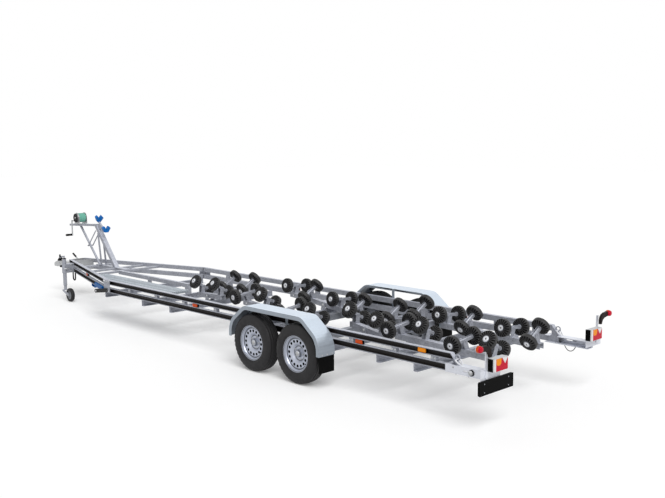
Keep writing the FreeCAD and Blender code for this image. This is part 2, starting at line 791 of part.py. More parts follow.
# Front end: the overrun coupling and its brake lever

def coupling():
    """The overrun housing in its nose plates, the bellows on the drawtube and the ball coupling."""
    low, high = DRAW_Z - HOUSING_HEIGHT / 2, DRAW_Z + HOUSING_HEIGHT / 2
    front = NOSE + HOUSING_FRONT
    housing = block((-HOUSING_HALF, NOSE - HOUSING_BACK, low), (HOUSING_HALF, front, high))
    housing = housing.makeChamfer(HOUSING_HALF / 3, [e for e in housing.Edges if e.Length > HOUSING_BACK])
    rear_plate = between_arms(NOSE - HOUSING_BACK + 2 * NOSE_PLATE, NOSE_PLATE, LOWER_LOW, RAIL_TOP)
    nose_plate = block((-NOSE_X, NOSE, LOWER_LOW), (NOSE_X, NOSE + NOSE_PLATE, RAIL_TOP))
    bellows = [(-1, 0), (-1, BELLOWS_RADIUS)]
    for index in range(BELLOWS_COUNT):
        start = index * BELLOWS_PITCH
        bellows += [(start + BELLOWS_PITCH / 2, BELLOWS_RADIUS), (start + BELLOWS_PITCH, DRAWTUBE_RADIUS + 4)]
    bellows.append((BELLOWS_COUNT * BELLOWS_PITCH, 0))
    tube = rod(V(0, front, DRAW_Z), V(0, NOSE + HEAD_BACK + DRAWTUBE_RADIUS, DRAW_Z), DRAWTUBE_RADIUS)
    return fused([housing, rear_plate, nose_plate, turned(bellows, V(0, front, DRAW_Z), (0, 1, 0)), tube,
                  coupling_head(), coupling_handle()])


def coupling_head():
    """The head over the ball, hollowed by the ball's socket."""
    back, ball, tip = NOSE + HEAD_BACK, NOSE + BALL_AHEAD, NOSE + TIP_AHEAD
    neck = DRAW_Z - DRAWTUBE_RADIUS
    outline = [(back, neck), (ball - 60, HEAD_BOTTOM), (tip - 8, HEAD_BOTTOM), (tip, HEAD_BOTTOM + 12),
               (tip, DRAW_Z - 20), (ball + 10, DRAW_Z + 12), (ball - 70, DRAW_Z + 30), (back, DRAW_Z + 30)]
    shell = side_prism(outline, -HEAD_HALF, HEAD_HALF)
    centre = V(0, ball, HEAD_BOTTOM + BALL_RADIUS)
    entry = rod(centre - V(0, 0, 2 * BALL_RADIUS), centre, BALL_RADIUS)
    return shell.cut(Part.makeSphere(BALL_RADIUS, centre).fuse(entry))


def coupling_handle():
    """The lever on the head, raised to the rear."""
    ball = NOSE + BALL_AHEAD
    top = DRAW_Z + 28
    return side_prism([(ball - 100, top), (ball - 24, top - 6), (ball - 20, top + 6), (ball - 118, top + 82),
                       (ball - 158, top + 82), (ball - 158, top + 70), (ball - 124, top + 66)], -18, 18)


def handbrake():
    """A bent flat lever on its pivot beside the housing, with a round grip on its upper part."""
    points = [(NOSE + y, z) for y, z in BRAKE_POINTS]
    lever = side_prism(points + inset(points, BRAKE_DEPTH)[::-1], BRAKE_X - BRAKE_BAR, BRAKE_X)
    pivot, knee, end = [V(BRAKE_X - BRAKE_BAR / 2, y, z) for y, z in inset(points, BRAKE_DEPTH / 2)]
    boss = rod(V(HOUSING_HALF + SEAT, pivot.y, pivot.z), V(BRAKE_X + BRAKE_BAR, pivot.y, pivot.z),
               BRAKE_DEPTH / 2)
    run = end - knee
    return fused([lever, boss, rod(knee + run * 0.35, end + run * 0.05, BRAKE_GRIP)])


# Winch stand, in the centre plane

POST_FOOT = NOSE - POST_SETBACK


def bar_between(foot, top, left, right, depth):
    """A straight bar from foot to top, both (station, height), depth thick along Y."""
    (y0, z0), (y1, z1) = foot, top
    half = depth / 2
    outline = [(y0 - half, z0), (y0 + half, z0), (y1 + half, z1), (y1 - half, z1)]
    return side_prism([(POST_FOOT + y, z) for y, z in outline], left, right)


def platform_top(station):
    """Height of the winch platform, which falls towards the front."""
    return POST_TOP - PLATFORM_FALL * (station - POST_RUN) / (PLATFORM_FRONT - POST_RUN)


def along_platform(back, front, below, above):
    outline = [(back, platform_top(back) + below), (front, platform_top(front) + below),
               (front, platform_top(front) + above), (back, platform_top(back) + above)]
    return [(POST_FOOT + y, z) for y, z in outline]


def winch_stand():
    post = bar_between((0, MEMBER_TOP), (POST_RUN, POST_TOP), -POST_HALF, POST_HALF, POST_DEPTH)
    base = block((-BASE_HALF, POST_FOOT - BASE_BACK, MEMBER_TOP),
                 (BASE_HALF, POST_FOOT + BASE_FRONT, MEMBER_TOP + BASE_THICKNESS))
    brace = bar_between((BRACE_FOOT, MEMBER_TOP), (BRACE_TOP, platform_top(BRACE_TOP) - 1),
                        -BRACE_HALF, BRACE_HALF, 2 * BRACE_HALF)
    platform = side_prism(along_platform(POST_RUN - POST_DEPTH / 2, PLATFORM_FRONT, -PLATFORM_DEPTH, 0),
                          -PLATFORM_HALF, PLATFORM_HALF)
    groove = side_prism(along_platform(POST_RUN + POST_DEPTH / 2, PLATFORM_FRONT + 1, -PLATFORM_DEPTH - 1,
                                       -CHANNEL_WALL), CHANNEL_WALL - PLATFORM_HALF, PLATFORM_HALF - CHANNEL_WALL)
    pieces = [post, base, brace, platform.cut(groove), stop_arm()]
    for left, right in ((POST_HALF, POST_HALF + STRAP), (-POST_HALF - STRAP, -POST_HALF)):
        pieces.append(bar_between((STRUT_FOOT, MEMBER_TOP), STRUT_TOP, left, right, STRUT_DEPTH))
        pieces.append(bar_between(TIE_LOW, TIE_TOP, left, right, TIE_DEPTH))
    bolt = V(POST_HALF + STRAP + 4, 0, 0)
    low_end = V(0, POST_FOOT + TIE_LOW[0], TIE_LOW[1] + TIE_DEPTH / 2)
    pieces.append(rod(low_end - bolt, low_end + bolt, BOLT_RADIUS))
    return fused(pieces).cut(Part.makeCompound(bow_stops()))


def stop_arm():
    """The arm that carries both bow stops, and the plate that holds it to the post."""
    lead = STOP_ARM_DEPTH / 4
    arm = bar_between((LOWER_STOP[0] + lead, LOWER_STOP[1] + lead), (UPPER_STOP[0] + lead, UPPER_STOP[1] + lead),
                      -STOP_ARM_HALF, STOP_ARM_HALF, STOP_ARM_DEPTH)
    plate = bar_between((LOWER_STOP[0] + STOP_PLATE_AHEAD, LOWER_STOP[1] + STOP_PLATE_RISE),
                        (UPPER_STOP[0] - STOP_PLATE_RISE, UPPER_STOP[1] - 2 * STOP_PLATE_RISE),
                        -STOP_ARM_HALF, STOP_ARM_HALF, STOP_PLATE_DEPTH)
    return arm.fuse(plate)


def bow_stop(seat, tilt, half_width, height):
    """A V block whose foot sits at seat, leaning to the rear by tilt."""
    right = [(0, 0), (STOP_WALL, 0), (half_width, height * 0.7), (half_width - STOP_WALL, height),
             (0, height * 0.35)]
    left = [(-x, z) for x, z in reversed(right) if x]
    stop = front_prism(right + left, -STOP_LENGTH / 2, STOP_LENGTH / 2)
    stop.rotate(V(0, 0, 0), V(1, 0, 0), tilt)
    stop.translate(V(0, POST_FOOT + seat[0], seat[1]))
    return stop


def bow_stops():
    return [bow_stop(LOWER_STOP, LOWER_STOP_TILT, 68, 100), bow_stop(UPPER_STOP, UPPER_STOP_TILT, 66, 104)]


def winch():
    """A drum between two rounded cheeks on a floor, a covered gear and a hanging crank."""
    drum = V(0, POST_FOOT + WINCH_STATION, platform_top(WINCH_STATION) + WINCH_ABOVE)
    floor = side_prism(along_platform(WINCH_STATION - CHEEK_RADIUS, WINCH_STATION + CHEEK_RADIUS, 0, CHEEK),
                       -WINCH_HALF, WINCH_HALF)
    wall = side_prism(along_platform(WINCH_STATION - CHEEK_RADIUS, WINCH_STATION + CHEEK_RADIUS, 0,
                                     WINCH_ABOVE), -WINCH_HALF, -WINCH_HALF + CHEEK)
    cheek = wall.fuse(rod(drum - V(WINCH_HALF, 0, 0), drum - V(WINCH_HALF - CHEEK, 0, 0), CHEEK_RADIUS))
    core = rod(drum - V(WINCH_HALF - 1, 0, 0), drum + V(WINCH_HALF - 1, 0, 0), DRUM_CORE)
    gear = rod(drum - V(WINCH_HALF + GEAR_WIDTH, 0, 0), drum - V(WINCH_HALF - 1, 0, 0), GEAR_RADIUS)
    shaft = V(-WINCH_HALF, drum.y + CRANK_AHEAD - CHEEK_RADIUS / 3, drum.z - CRANK_DROP)
    outer = V(-CRANK_X, shaft.y, shaft.z)
    low = outer - V(0, 0, CRANK_LENGTH)
    crank = block((-CRANK_X - CHEEK, shaft.y - BRACE_HALF, low.z - BRACE_HALF),
                  (-CRANK_X + CHEEK, shaft.y + BRACE_HALF, shaft.z + BRACE_HALF))
    return fused([floor, cheek, mirrored(cheek), core, gear, rod(shaft, outer, BOLT_RADIUS), crank,
                  rod(low, low - V(GRIP_LENGTH, 0, 0), BRACE_HALF)])


# Jockey wheel

JOCKEY_Y = NOSE - JOCKEY_SETBACK
JOCKEY_X = -frame_x(JOCKEY_Y) - JOCKEY_REACH
JOCKEY_AXLE_Y = JOCKEY_Y - JOCKEY_TRAIL
FORK_TOP = JOCKEY_RADIUS + FORK_RISE


def upright_rod(low, high, radius):
    return Part.makeCylinder(radius, high - low, V(JOCKEY_X, JOCKEY_Y, low))


def jockey_clamp():
    """The clamp round the jockey's tube and its bracket on the arm."""
    back, front = JOCKEY_Y - JOCKEY_TUBE - CLAMP_WALL, JOCKEY_Y + JOCKEY_TUBE + CLAMP_WALL
    bracket = plan_prism([(JOCKEY_X, back), (JOCKEY_X, front), (-frame_x(front), front), (-frame_x(back), back)],
                         CLAMP_LOW, CLAMP_HIGH)
    hollow = plan_prism([(JOCKEY_X, back + CLAMP_WALL), (JOCKEY_X, front - CLAMP_WALL),
                         (-frame_x(front) + 1, front - CLAMP_WALL), (-frame_x(back) + 1, back + CLAMP_WALL)],
                        CLAMP_LOW - 1, CLAMP_HIGH - CLAMP_WALL)
    bore = upright_rod(CLAMP_LOW - 1, CLAMP_HIGH + 1, JOCKEY_TUBE + RUNNING_GAP)
    return bracket.cut(hollow).fuse(upright_rod(CLAMP_LOW, CLAMP_HIGH, JOCKEY_TUBE + CLAMP_WALL)).cut(bore)


def jockey_leg():
    """The stepped tube, its crank on top and the crank's grip."""
    top = V(JOCKEY_X, JOCKEY_Y, JOCKEY_TOP + JOCKEY_CRANK_RISE)
    end = top - V(JOCKEY_CRANK_LENGTH, 0, 0)
    return fused([upright_rod(FORK_TOP + RUNNING_GAP, JOCKEY_SHOULDER + 1, JOCKEY_INNER_TUBE),
                  upright_rod(JOCKEY_SHOULDER, JOCKEY_TOP, JOCKEY_TUBE),
                  upright_rod(JOCKEY_TOP - 1, top.z + 2 * JOCKEY_CRANK, JOCKEY_GRIP), rod(top, end, JOCKEY_CRANK),
                  rod(end - V(0, 0, 2 * JOCKEY_CRANK), end + V(0, 0, JOCKEY_GRIP_LENGTH), JOCKEY_GRIP)])


def jockey_fork():
    """Two side plates that reach back to the wheel's pin, under a crown."""
    inner = JOCKEY_WIDTH / 2 + FORK_GAP
    outer = inner + FORK_PLATE
    outline = [(JOCKEY_AXLE_Y - 2 * FORK_PIN, JOCKEY_RADIUS - 2 * FORK_PIN),
               (JOCKEY_AXLE_Y + 2 * FORK_PIN, JOCKEY_RADIUS - 2 * FORK_PIN),
               (JOCKEY_Y + JOCKEY_TUBE, FORK_TOP - 2 * FORK_PIN), (JOCKEY_Y + JOCKEY_TUBE, FORK_TOP),
               (JOCKEY_Y - JOCKEY_TUBE, FORK_TOP), (JOCKEY_AXLE_Y - 2 * FORK_PIN, JOCKEY_RADIUS + 2 * FORK_PIN)]
    plates = [side_prism(outline, *sorted((JOCKEY_X + way * inner, JOCKEY_X + way * outer)))
              for way in (-1, 1)]
    crown = block((JOCKEY_X - outer, JOCKEY_Y - JOCKEY_TUBE, FORK_TOP - FORK_PLATE),
                  (JOCKEY_X + outer, JOCKEY_Y + JOCKEY_TUBE, FORK_TOP))
    pin = V(JOCKEY_X, JOCKEY_AXLE_Y, JOCKEY_RADIUS)
    reach = V(outer + FORK_PLATE, 0, 0)
    return fused(plates + [crown, rod(pin - reach, pin + reach, FORK_PIN)])


def jockey_wheel():
    half = JOCKEY_WIDTH / 2
    bore = FORK_PIN + RUNNING_GAP
    hub, shoulder = JOCKEY_RADIUS * 0.6, JOCKEY_RADIUS - half / 3
    side = [(half, bore), (half, bore * 2.5), (half * 0.6, bore * 3), (half * 0.6, hub), (half, hub + 5),
            (half, shoulder), (half * 0.6, JOCKEY_RADIUS)]
    return turned([(-a, r) for a, r in side] + side[::-1], V(JOCKEY_X, JOCKEY_AXLE_Y, JOCKEY_RADIUS), (1, 0, 0))


# Rear lights

CARRIER_Y = LOWER_REAR - LIGHT_REACH


def light_arm(low):
    """A channel sleeved over the lower rail, with a carrier plate at its end and the marker's stem."""
    back, front = CARRIER_Y + CARRIER - 1, LOWER_REAR + SLEEVE_OVERLAP
    outer = RAIL_X + SLEEVE_WALL
    sleeve = block((SLEEVE_INNER, back, LOWER_LOW - SEAT - SLEEVE_WALL),
                   (outer, front, LOWER_TOP + SEAT + SLEEVE_WALL))
    inside = block((SLEEVE_INNER - 1, back - 1, LOWER_LOW - SEAT), (RAIL_X, front + 1, LOWER_TOP + SEAT))
    step = STEM_X - 2 * STEM_HALF
    carrier = front_prism([(CARRIER_INNER, low), (WING_OUTER, low), (WING_OUTER, WING_TOP), (step, WING_TOP),
                           (step, CARRIER_TOP), (CARRIER_INNER, CARRIER_TOP)], CARRIER_Y, CARRIER_Y + CARRIER)
    stem = block((STEM_X - STEM_HALF, CARRIER_Y - CARRIER, BOARD_LOW + BOARD_HEIGHT + CARRIER),
                 (STEM_X + STEM_HALF, CARRIER_Y + CARRIER, STEM_TOP))
    relief = block((SLEEVE_INNER - 1, LOWER_REAR - SEAT, LOWER_TOP),
                   (RAIL_X, UPPER_REAR + SEAT, LOWER_TOP + 2 * SLEEVE_WALL))
    middle = (LOWER_LOW + LOWER_TOP) / 2
    slot = block((RAIL_X - 1, LOWER_REAR - ARM_SLOT[1], middle - ARM_SLOT_HALF),
                 (outer + 1, LOWER_REAR - ARM_SLOT[0], middle + ARM_SLOT_HALF))
    return fused([sleeve.cut(inside).cut(relief).cut(slot), carrier, stem])


def lamp():
    box = block((LAMP_INNER, CARRIER_Y - LAMP_DEPTH, LAMP_LOW),
                (LAMP_INNER + LAMP_WIDTH, CARRIER_Y - SEAT, LAMP_LOW + LAMP_HEIGHT))
    return box.makeFillet(LAMP_ROUND, [e for e in box.Edges if abs(e.tangentAt(0).y) > 0.9])


def outline_marker():
    """A rubber arm on the stem's rear face with a round lens that looks to the front and to the rear."""
    back = CARRIER_Y - CARRIER - SEAT - MARKER_DEPTH
    front = back + MARKER_DEPTH
    middle = STEM_TOP + MARKER_RISE
    head = rod(V(MARKER_HEAD_X, back, middle), V(MARKER_HEAD_X, front, middle), MARKER_RADIUS)
    left, right, root = STEM_X - STEM_HALF, STEM_X + STEM_HALF, STEM_TOP - MARKER_ROOT
    arm = front_prism([(left, root), (right, root), (right + STEM_HALF, middle - 2 * MARKER_ARM),
                       (MARKER_HEAD_X, middle - MARKER_ARM), (MARKER_HEAD_X, middle + MARKER_ARM),
                       (right, middle + MARKER_RISE), (left, middle - MARKER_ARM)], back + MARKER_ARM / 2, front)
    return head.fuse(arm)


def cable_loop():
    """The slack of the lamp's cable, which hangs under the right light arm."""
    low = LOWER_LOW - 2 * SEAT - SLEEVE_WALL - CABLE_RADIUS
    centre = V((SLEEVE_INNER + RAIL_X) / 2, CABLE_STATION, low)
    ring = Part.makeTorus(CABLE_BEND, CABLE_RADIUS, centre, V(1, 0, 0))
    keep = block((centre.x - CABLE_BEND, centre.y - 2 * CABLE_BEND, low - 2 * CABLE_BEND),
                 (centre.x + CABLE_BEND, centre.y + 2 * CABLE_BEND, low))
    ends = [rod(centre + V(0, way * (CABLE_BEND - CABLE_RADIUS), 0),
                centre + V(0, way * 1.6 * CABLE_BEND, 0), CABLE_RADIUS)
            for way in (-1, 1)]
    return ring.common(keep).fuse(ends)


def breakaway_loop():
    """A long link of rubber-clad cable that hangs under the coupling's housing."""
    x, y = 0, NOSE + LOOP_AHEAD
    top = DRAW_Z - HOUSING_HEIGHT / 2 - SEAT - LOOP_RADIUS
    sides = [rod(V(x, y + reach, top), V(x, y + reach, top - LOOP_LENGTH + LOOP_HALF), LOOP_RADIUS)
             for reach in (-LOOP_HALF, LOOP_HALF)]
    bends = []
    for z, up in ((top, 1), (top - LOOP_LENGTH + LOOP_HALF, -1)):
        ring = Part.makeTorus(LOOP_HALF, LOOP_RADIUS, V(x, y, z), V(1, 0, 0))
        if up > 0:
            bends.append(rod(V(x, y - LOOP_HALF, z), V(x, y + LOOP_HALF, z), LOOP_RADIUS))
        else:
            bends.append(ring.common(block((x - LOOP_HALF, y - 2 * LOOP_HALF, z - 2 * LOOP_HALF),
                                           (x + LOOP_HALF, y + 2 * LOOP_HALF, z))))
    return fused(sides + bends)


def side_markers():
    """Marker lamps in the slot between the decks and in the upper channel, and one on the left drawbar arm."""
    half = MARKER_LENGTH / 2
    pieces = both_sides(*[block((RAIL_X - CHANNEL_DEPTH + PLATE, y - half, LOWER_TOP),
                                (RAIL_X - MARKER_FACE_INSET, y + half, UPPER_LOW)) for y in SIDE_MARKERS])
    inner = RAIL_X - CHANNEL_DEPTH + CHANNEL_WALL + SEAT
    pieces += both_sides(block((inner, UPPER_MARKER - half, UPPER_LOW + CHANNEL_WALL + SEAT),
                               (RAIL_X - MARKER_FACE_INSET, UPPER_MARKER + half, RAIL_TOP - CHANNEL_WALL - SEAT)))
    y = NOSE - DRAW_MARKER_SETBACK
    ahead = plan_prism(strip(MARKER_FACE_INSET, CHANNEL_DEPTH - PLATE, y - half, y + half), LOWER_TOP, UPPER_LOW)
    return pieces + [mirrored(ahead)]


def number_plate_board():
    """The board under the left lamp, with its corners rounded."""
    left, right, top = -BOARD_OUTER, BOARD_WIDTH - BOARD_OUTER, BOARD_LOW + BOARD_HEIGHT
    back = CARRIER_Y - SEAT
    board = block((left, back - BOARD_DEPTH, BOARD_LOW), (right, back, top))
    return board.makeFillet(LAMP_ROUND, [e for e in board.Edges if abs(e.tangentAt(0).y) > 0.9])


def walkway():
    """A tread plank beside the left rail that follows the frame's line inboard at its front."""
    outer = edge(CHANNEL_DEPTH, PLANK_REAR, PLANK_FRONT)
    outline = outer + [(PLANK_INNER, PLANK_FRONT), (PLANK_INNER, PLANK_REAR)]
    return mirrored(plan_prism(outline, RAIL_TOP - PLANK_THICKNESS, RAIL_TOP))


def wheel_chock():
    """The chock held in the lower channel of the left arm, and its holder ahead of it."""
    low, high = LOWER_LOW + CHANNEL_WALL + SEAT, LOWER_TOP - CHANNEL_WALL - SEAT
    inner = CHANNEL_DEPTH - CHANNEL_WALL - SEAT
    chock = plan_prism(strip(-CHOCK_OUT, inner, CHOCK_BACK, CHOCK_FRONT), low, high)
    holder = plan_prism(strip(0, CHANNEL_DEPTH, HOLDER_BACK, HOLDER_FRONT),
                        LOWER_LOW - SEAT - HOLDER_DEPTH, LOWER_LOW - SEAT)
    slot = plan_prism(strip(-1, CHANNEL_DEPTH + 1, HOLDER_BACK + 2 * PLATE, HOLDER_FRONT - 2 * PLATE),
                      LOWER_LOW - HOLDER_DEPTH + PLATE, LOWER_LOW - SEAT - PLATE)
    return [mirrored(chock), mirrored(holder.cut(slot))]


NODES = {
    "upper_rails": rails(UPPER_LOW, UPPER_HEIGHT, UPPER_REAR),
    "lower_rails": rails(LOWER_LOW, LOWER_HEIGHT, LOWER_REAR),
    "rail_plates": rail_plates(),
    "walkway": [walkway()],
    "axles": [axle(AXLE_SPACING / 2), axle(-AXLE_SPACING / 2)],
    "fenders": both_sides(fender()),
    "mudflaps": both_sides(mudflap()),
    "coupling": [coupling()],
    "handbrake": [handbrake()],
    "winch_stand": [winch_stand()],
    "winch": [winch()],
    "bow_stops": bow_stops(),
    "jockey_leg": [jockey_leg()],
    "jockey_fork": [jockey_fork()],
    "jockey_wheel": [jockey_wheel()],
    "light_arms": [mirrored(light_arm(CARRIER_LOW - BOARD_LAP)), light_arm(CARRIER_LOW)],
    "lamps": both_sides(lamp(), outline_marker()) + side_markers() + [cable_loop(), breakaway_loop()],
    "plate_board": [number_plate_board()],
    "wheel_chock": wheel_chock(),
}

BEAMS = {station: [cross_beam(station)] for station in (CORNER_BEAM, PLANK_BEAM, BOW_BEAM, FRONT_BEAM, KEEL_BEAM,
                                                        PLAIN_BEAM, REAR_BEAM)}
for rocker in ROCKERS:
    BEAMS[rocker.y] += rocker.stand()
DECK = [between_arms(NOSE - setback, MEMBER_WIDTH, UPPER_LOW, MEMBER_TOP) for setback in MEMBER_SETBACKS]
KEEL = fused(BEAMS.pop(CORNER_BEAM) + BEAMS.pop(PLANK_BEAM) + [keel_beam(), DECK.pop()])
NODES["cross_beams"] = [KEEL, *DECK]
NODES["cross_beams"] += [fused(pieces) if len(pieces) > 1 else pieces[0] for pieces in BEAMS.values()]

for rocker in ROCKERS:
    NODES[rocker.name] = [rocker.body()]
    for pair in rocker.pairs:
        NODES[pair.name] = pair.rollers()

for name, centre in WHEELS.items():
    NODES["tyre_" + name] = [tyre(centre)]
    NODES["rim_" + name] = [rim(centre)]

# The whole is moved so that the origin is its bottom centre

WHOLE = Part.makeCompound([solid for solids in NODES.values() for solid in solids]).BoundBox
SHIFT = V(-(WHOLE.XMin + WHOLE.XMax) / 2, -(WHOLE.YMin + WHOLE.YMax) / 2, -WHOLE.ZMin)

os.makedirs("parts", exist_ok=True)
for name, solids in NODES.items():
    shape = solids[0] if len(solids) == 1 else Part.makeCompound(solids)
    moved = shape.copy()
    moved.translate(SHIFT)
    moved.exportStep(f"parts/{name}.step")
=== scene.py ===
import json
import math
import bpy
import bmesh
from mathutils import Matrix, Vector


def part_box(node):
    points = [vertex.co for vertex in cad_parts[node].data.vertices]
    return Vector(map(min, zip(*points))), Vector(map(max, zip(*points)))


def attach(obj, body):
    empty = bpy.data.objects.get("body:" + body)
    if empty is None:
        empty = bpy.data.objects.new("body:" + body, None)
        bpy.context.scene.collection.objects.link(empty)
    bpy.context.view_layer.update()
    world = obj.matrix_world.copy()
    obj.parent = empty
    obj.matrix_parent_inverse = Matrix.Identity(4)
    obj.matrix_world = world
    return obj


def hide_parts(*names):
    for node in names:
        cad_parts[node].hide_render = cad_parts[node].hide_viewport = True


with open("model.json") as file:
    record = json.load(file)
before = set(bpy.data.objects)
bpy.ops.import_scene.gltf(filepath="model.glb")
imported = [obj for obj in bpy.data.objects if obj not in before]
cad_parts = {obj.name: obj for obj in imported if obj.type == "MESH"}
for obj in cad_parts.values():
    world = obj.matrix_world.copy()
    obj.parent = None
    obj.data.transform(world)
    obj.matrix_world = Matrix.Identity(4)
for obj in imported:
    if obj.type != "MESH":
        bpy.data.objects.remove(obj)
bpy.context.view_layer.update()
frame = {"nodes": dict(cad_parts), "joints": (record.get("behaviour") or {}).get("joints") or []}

# A tandem-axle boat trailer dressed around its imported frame, in metres.
# +X is the right-hand side, +Y points forward, and left and right pieces mirror in X.

TAU = 2 * math.pi
JOINTS = {joint["name"]: joint for joint in frame["joints"]}
WHEEL_NAMES = ("front_left", "front_right", "rear_left", "rear_right")


def joint_place(name):
    return Vector(JOINTS[name]["pos_m"])


def low(node):
    return Vector(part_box(node)[0])


def high(node):
    return Vector(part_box(node)[1])


# Places read from the frame. MID_Y is midway between the axles.
WHEELS = {name: joint_place(f"wheel_{name}_spin") for name in WHEEL_NAMES}
MID_Y = (WHEELS["front_left"].y + WHEELS["rear_left"].y) / 2
RAIL_X = high("upper_rails").x
RAIL_TOP = high("upper_rails").z
UPPER_LOW = low("upper_rails").z
LOWER_TOP = high("lower_rails").z
LOWER_LOW = low("lower_rails").z
NOSE_Y = high("upper_rails").y
BEND_Y = MID_Y + 3.917
NOSE_X = 0.150
CHANNEL_DEPTH = 0.050
CHANNEL_WALL = 0.005
ARM_SLOPE = (RAIL_X - NOSE_X) / (NOSE_Y - BEND_Y)
ARM_ANGLE = math.atan(ARM_SLOPE)
PLATE = 0.006
PLATE_FACE = RAIL_X + PLATE
SLOT_Z = (UPPER_LOW + LOWER_TOP) / 2
CARRIER_Y = high("plate_board").y
EYE_Y = MID_Y - 2.317
EYE_Z = 0.5865
DRAW_Z = 0.500


# Camera, at the photograph's viewing angle, with its lens for a 36 mm wide sensor
CAMERA_PLACE = Vector((-6.877, MID_Y - 7.011, 2.509))
CAMERA_YAW = 0.7639
CAMERA_PITCH = 0.1218
CAMERA_ROLL = 0.0098
CAMERA_LENS = 46.63


def add_camera():
    data = bpy.data.cameras.new("camera")
    data.sensor_width = 36
    data.lens = CAMERA_LENS
    data.clip_end = 200
    forward = math.cos(CAMERA_PITCH)
    ahead = Vector((math.sin(CAMERA_YAW) * forward, math.cos(CAMERA_YAW) * forward, -math.sin(CAMERA_PITCH)))
    level = Vector((math.cos(CAMERA_YAW), -math.sin(CAMERA_YAW), 0))
    up = level.cross(ahead)
    right = level * math.cos(CAMERA_ROLL) - up * math.sin(CAMERA_ROLL)
    up = right.cross(ahead)
    camera = bpy.data.objects.new("camera", data)
    turn = Matrix((right, up, -ahead)).transposed().to_4x4()
    camera.matrix_world = Matrix.Translation(CAMERA_PLACE) @ turn
    bpy.context.scene.collection.objects.link(camera)
    bpy.context.scene.camera = camera


# Meshes

class Shape:
    """Collects the faces of one mesh before it becomes an object."""

    def __init__(self):
        self.points = []
        self.faces = []
        self.smooth = []

    def add(self, points, faces, smooth, place):
        """Adds faces that are moved to a place, with a flag for each that says whether it is smooth."""
        start = len(self.points)
        flipped = place.determinant() < 0
        self.points += [place @ Vector(p) for p in points]
        for face in faces:
            face = [start + index for index in face]
            self.faces.append(face[::-1] if flipped else face)
        self.smooth += smooth
        return self

    def take(self, other, place=Matrix.Identity(4)):
        return self.add(other.points, other.faces, other.smooth, place)

    def build(self, name, material, body, slot):
        mesh = bpy.data.meshes.new(name)
        mesh.from_pydata([tuple(p) for p in self.points], [], self.faces)
        mesh.polygons.foreach_set("use_smooth", self.smooth)
        mesh.update()
        return placed(name, mesh, material, body)


def placed(name, data, material, body):
    """An object that moves with a body and belongs to a material slot."""
    data.materials.append(material)
    piece = bpy.data.objects.new(name, data)
    bpy.context.scene.collection.objects.link(piece)
    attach(piece, body)
    return piece


def facing(centre, axis, hint=Vector((0, 0, 1))):
    """A place whose local X points along axis."""
    along = Vector(axis).normalized()
    side = hint.cross(along)
    if side.length < 1e-6:
        side = Vector((0, 1, 0))
    side.normalize()
    top = along.cross(side)
    return Matrix.Translation(centre) @ Matrix((along, side, top)).transposed().to_4x4()


def lathe(profile, steps, place=Matrix.Identity(4), change=None, smooth=True, closed=False):
    """A surface of revolution about local X. The profile holds (along, radius) pairs in order.
    change(index, ring) may return new (along, radius) pairs for one ring of the turn."""
    points, faces = [], []
    count = len(profile)
    for index in range(steps):
        turn = TAU * index / steps
        ring = change(index, profile) if change else profile
        points += [(a, r * math.cos(turn), r * math.sin(turn)) for a, r in ring]
    spans = count if closed else count - 1
    for index in range(steps):
        here, there = index * count, (index + 1) % steps * count
        for k in range(spans):
            nxt = (k + 1) % count
            faces.append((here + k, here + nxt, there + nxt, there + k))
    return Shape().add(points, faces, [smooth] * len(faces), place)


def mirrored(half):
    """A closed section or a hanging route from its half: the points, then their mirror back again."""
    return list(half) + [(-along, other) for along, other in reversed(half)]


def disc_ends(start, end, radius, bevel, steps, place, smooth=True):
    """A short bevelled cylinder about local X from start to end."""
    profile = [(start, 0.0001), (start, radius - bevel), (start + bevel, radius), (end - bevel, radius),
               (end, radius - bevel), (end, 0.0001)]
    return lathe(profile, steps, place, smooth=smooth)


def bevelled(points, depth, bevel, place=Matrix.Identity(4)):
    """A plate with the outline points in local XY, depth thick along local Z, with rounded edges."""
    work = bmesh.new()
    face = work.faces.new([work.verts.new((x, y, 0)) for x, y in points])
    extruded = bmesh.ops.extrude_face_region(work, geom=[face])["geom"]
    lifted = [part for part in extruded if isinstance(part, bmesh.types.BMVert)]
    bmesh.ops.translate(work, vec=(0, 0, depth), verts=lifted)
    bmesh.ops.recalc_face_normals(work, faces=work.faces)
    if bevel:
        bmesh.ops.bevel(work, geom=list(work.edges), offset=bevel, segments=2, profile=0.7, affect="EDGES",
                        clamp_overlap=True)
    work.verts.index_update()
    faces = [[v.index for v in f.verts] for f in work.faces]
    shape = Shape().add([v.co.copy() for v in work.verts], faces, [False] * len(faces), place)
    work.free()
    return shape


def box(corner, opposite, bevel=0.0, place=Matrix.Identity(4)):
    """A box between two corners, its edges rounded by bevel."""
    (x0, y0, z0), (x1, y1, z1) = corner, opposite
    outline = [(x0, y0), (x1, y0), (x1, y1), (x0, y1)]
    return bevelled(outline, z1 - z0, bevel, place @ Matrix.Translation((0, 0, z0)))


def bolt(centre, axis, radius=0.010, height=0.008):
    """A hexagonal head on its washer, standing on a face at centre."""
    return bolt_at(facing(centre, axis), radius, height)


def bolt_at(place, radius, height, washer=True):
    shape = Shape()
    seat = 0.0
    if washer:
        seat = 0.002
        shape.take(disc_ends(0, seat, radius * 1.45, 0.0005, 16, place, smooth=False))
    shape.take(disc_ends(seat, seat + height, radius, height * 0.18, 6, place, smooth=False))
    shape.take(disc_ends(seat + height, seat + height * 1.35, radius * 0.55, 0.0006, 12, place, smooth=False))
    return shape


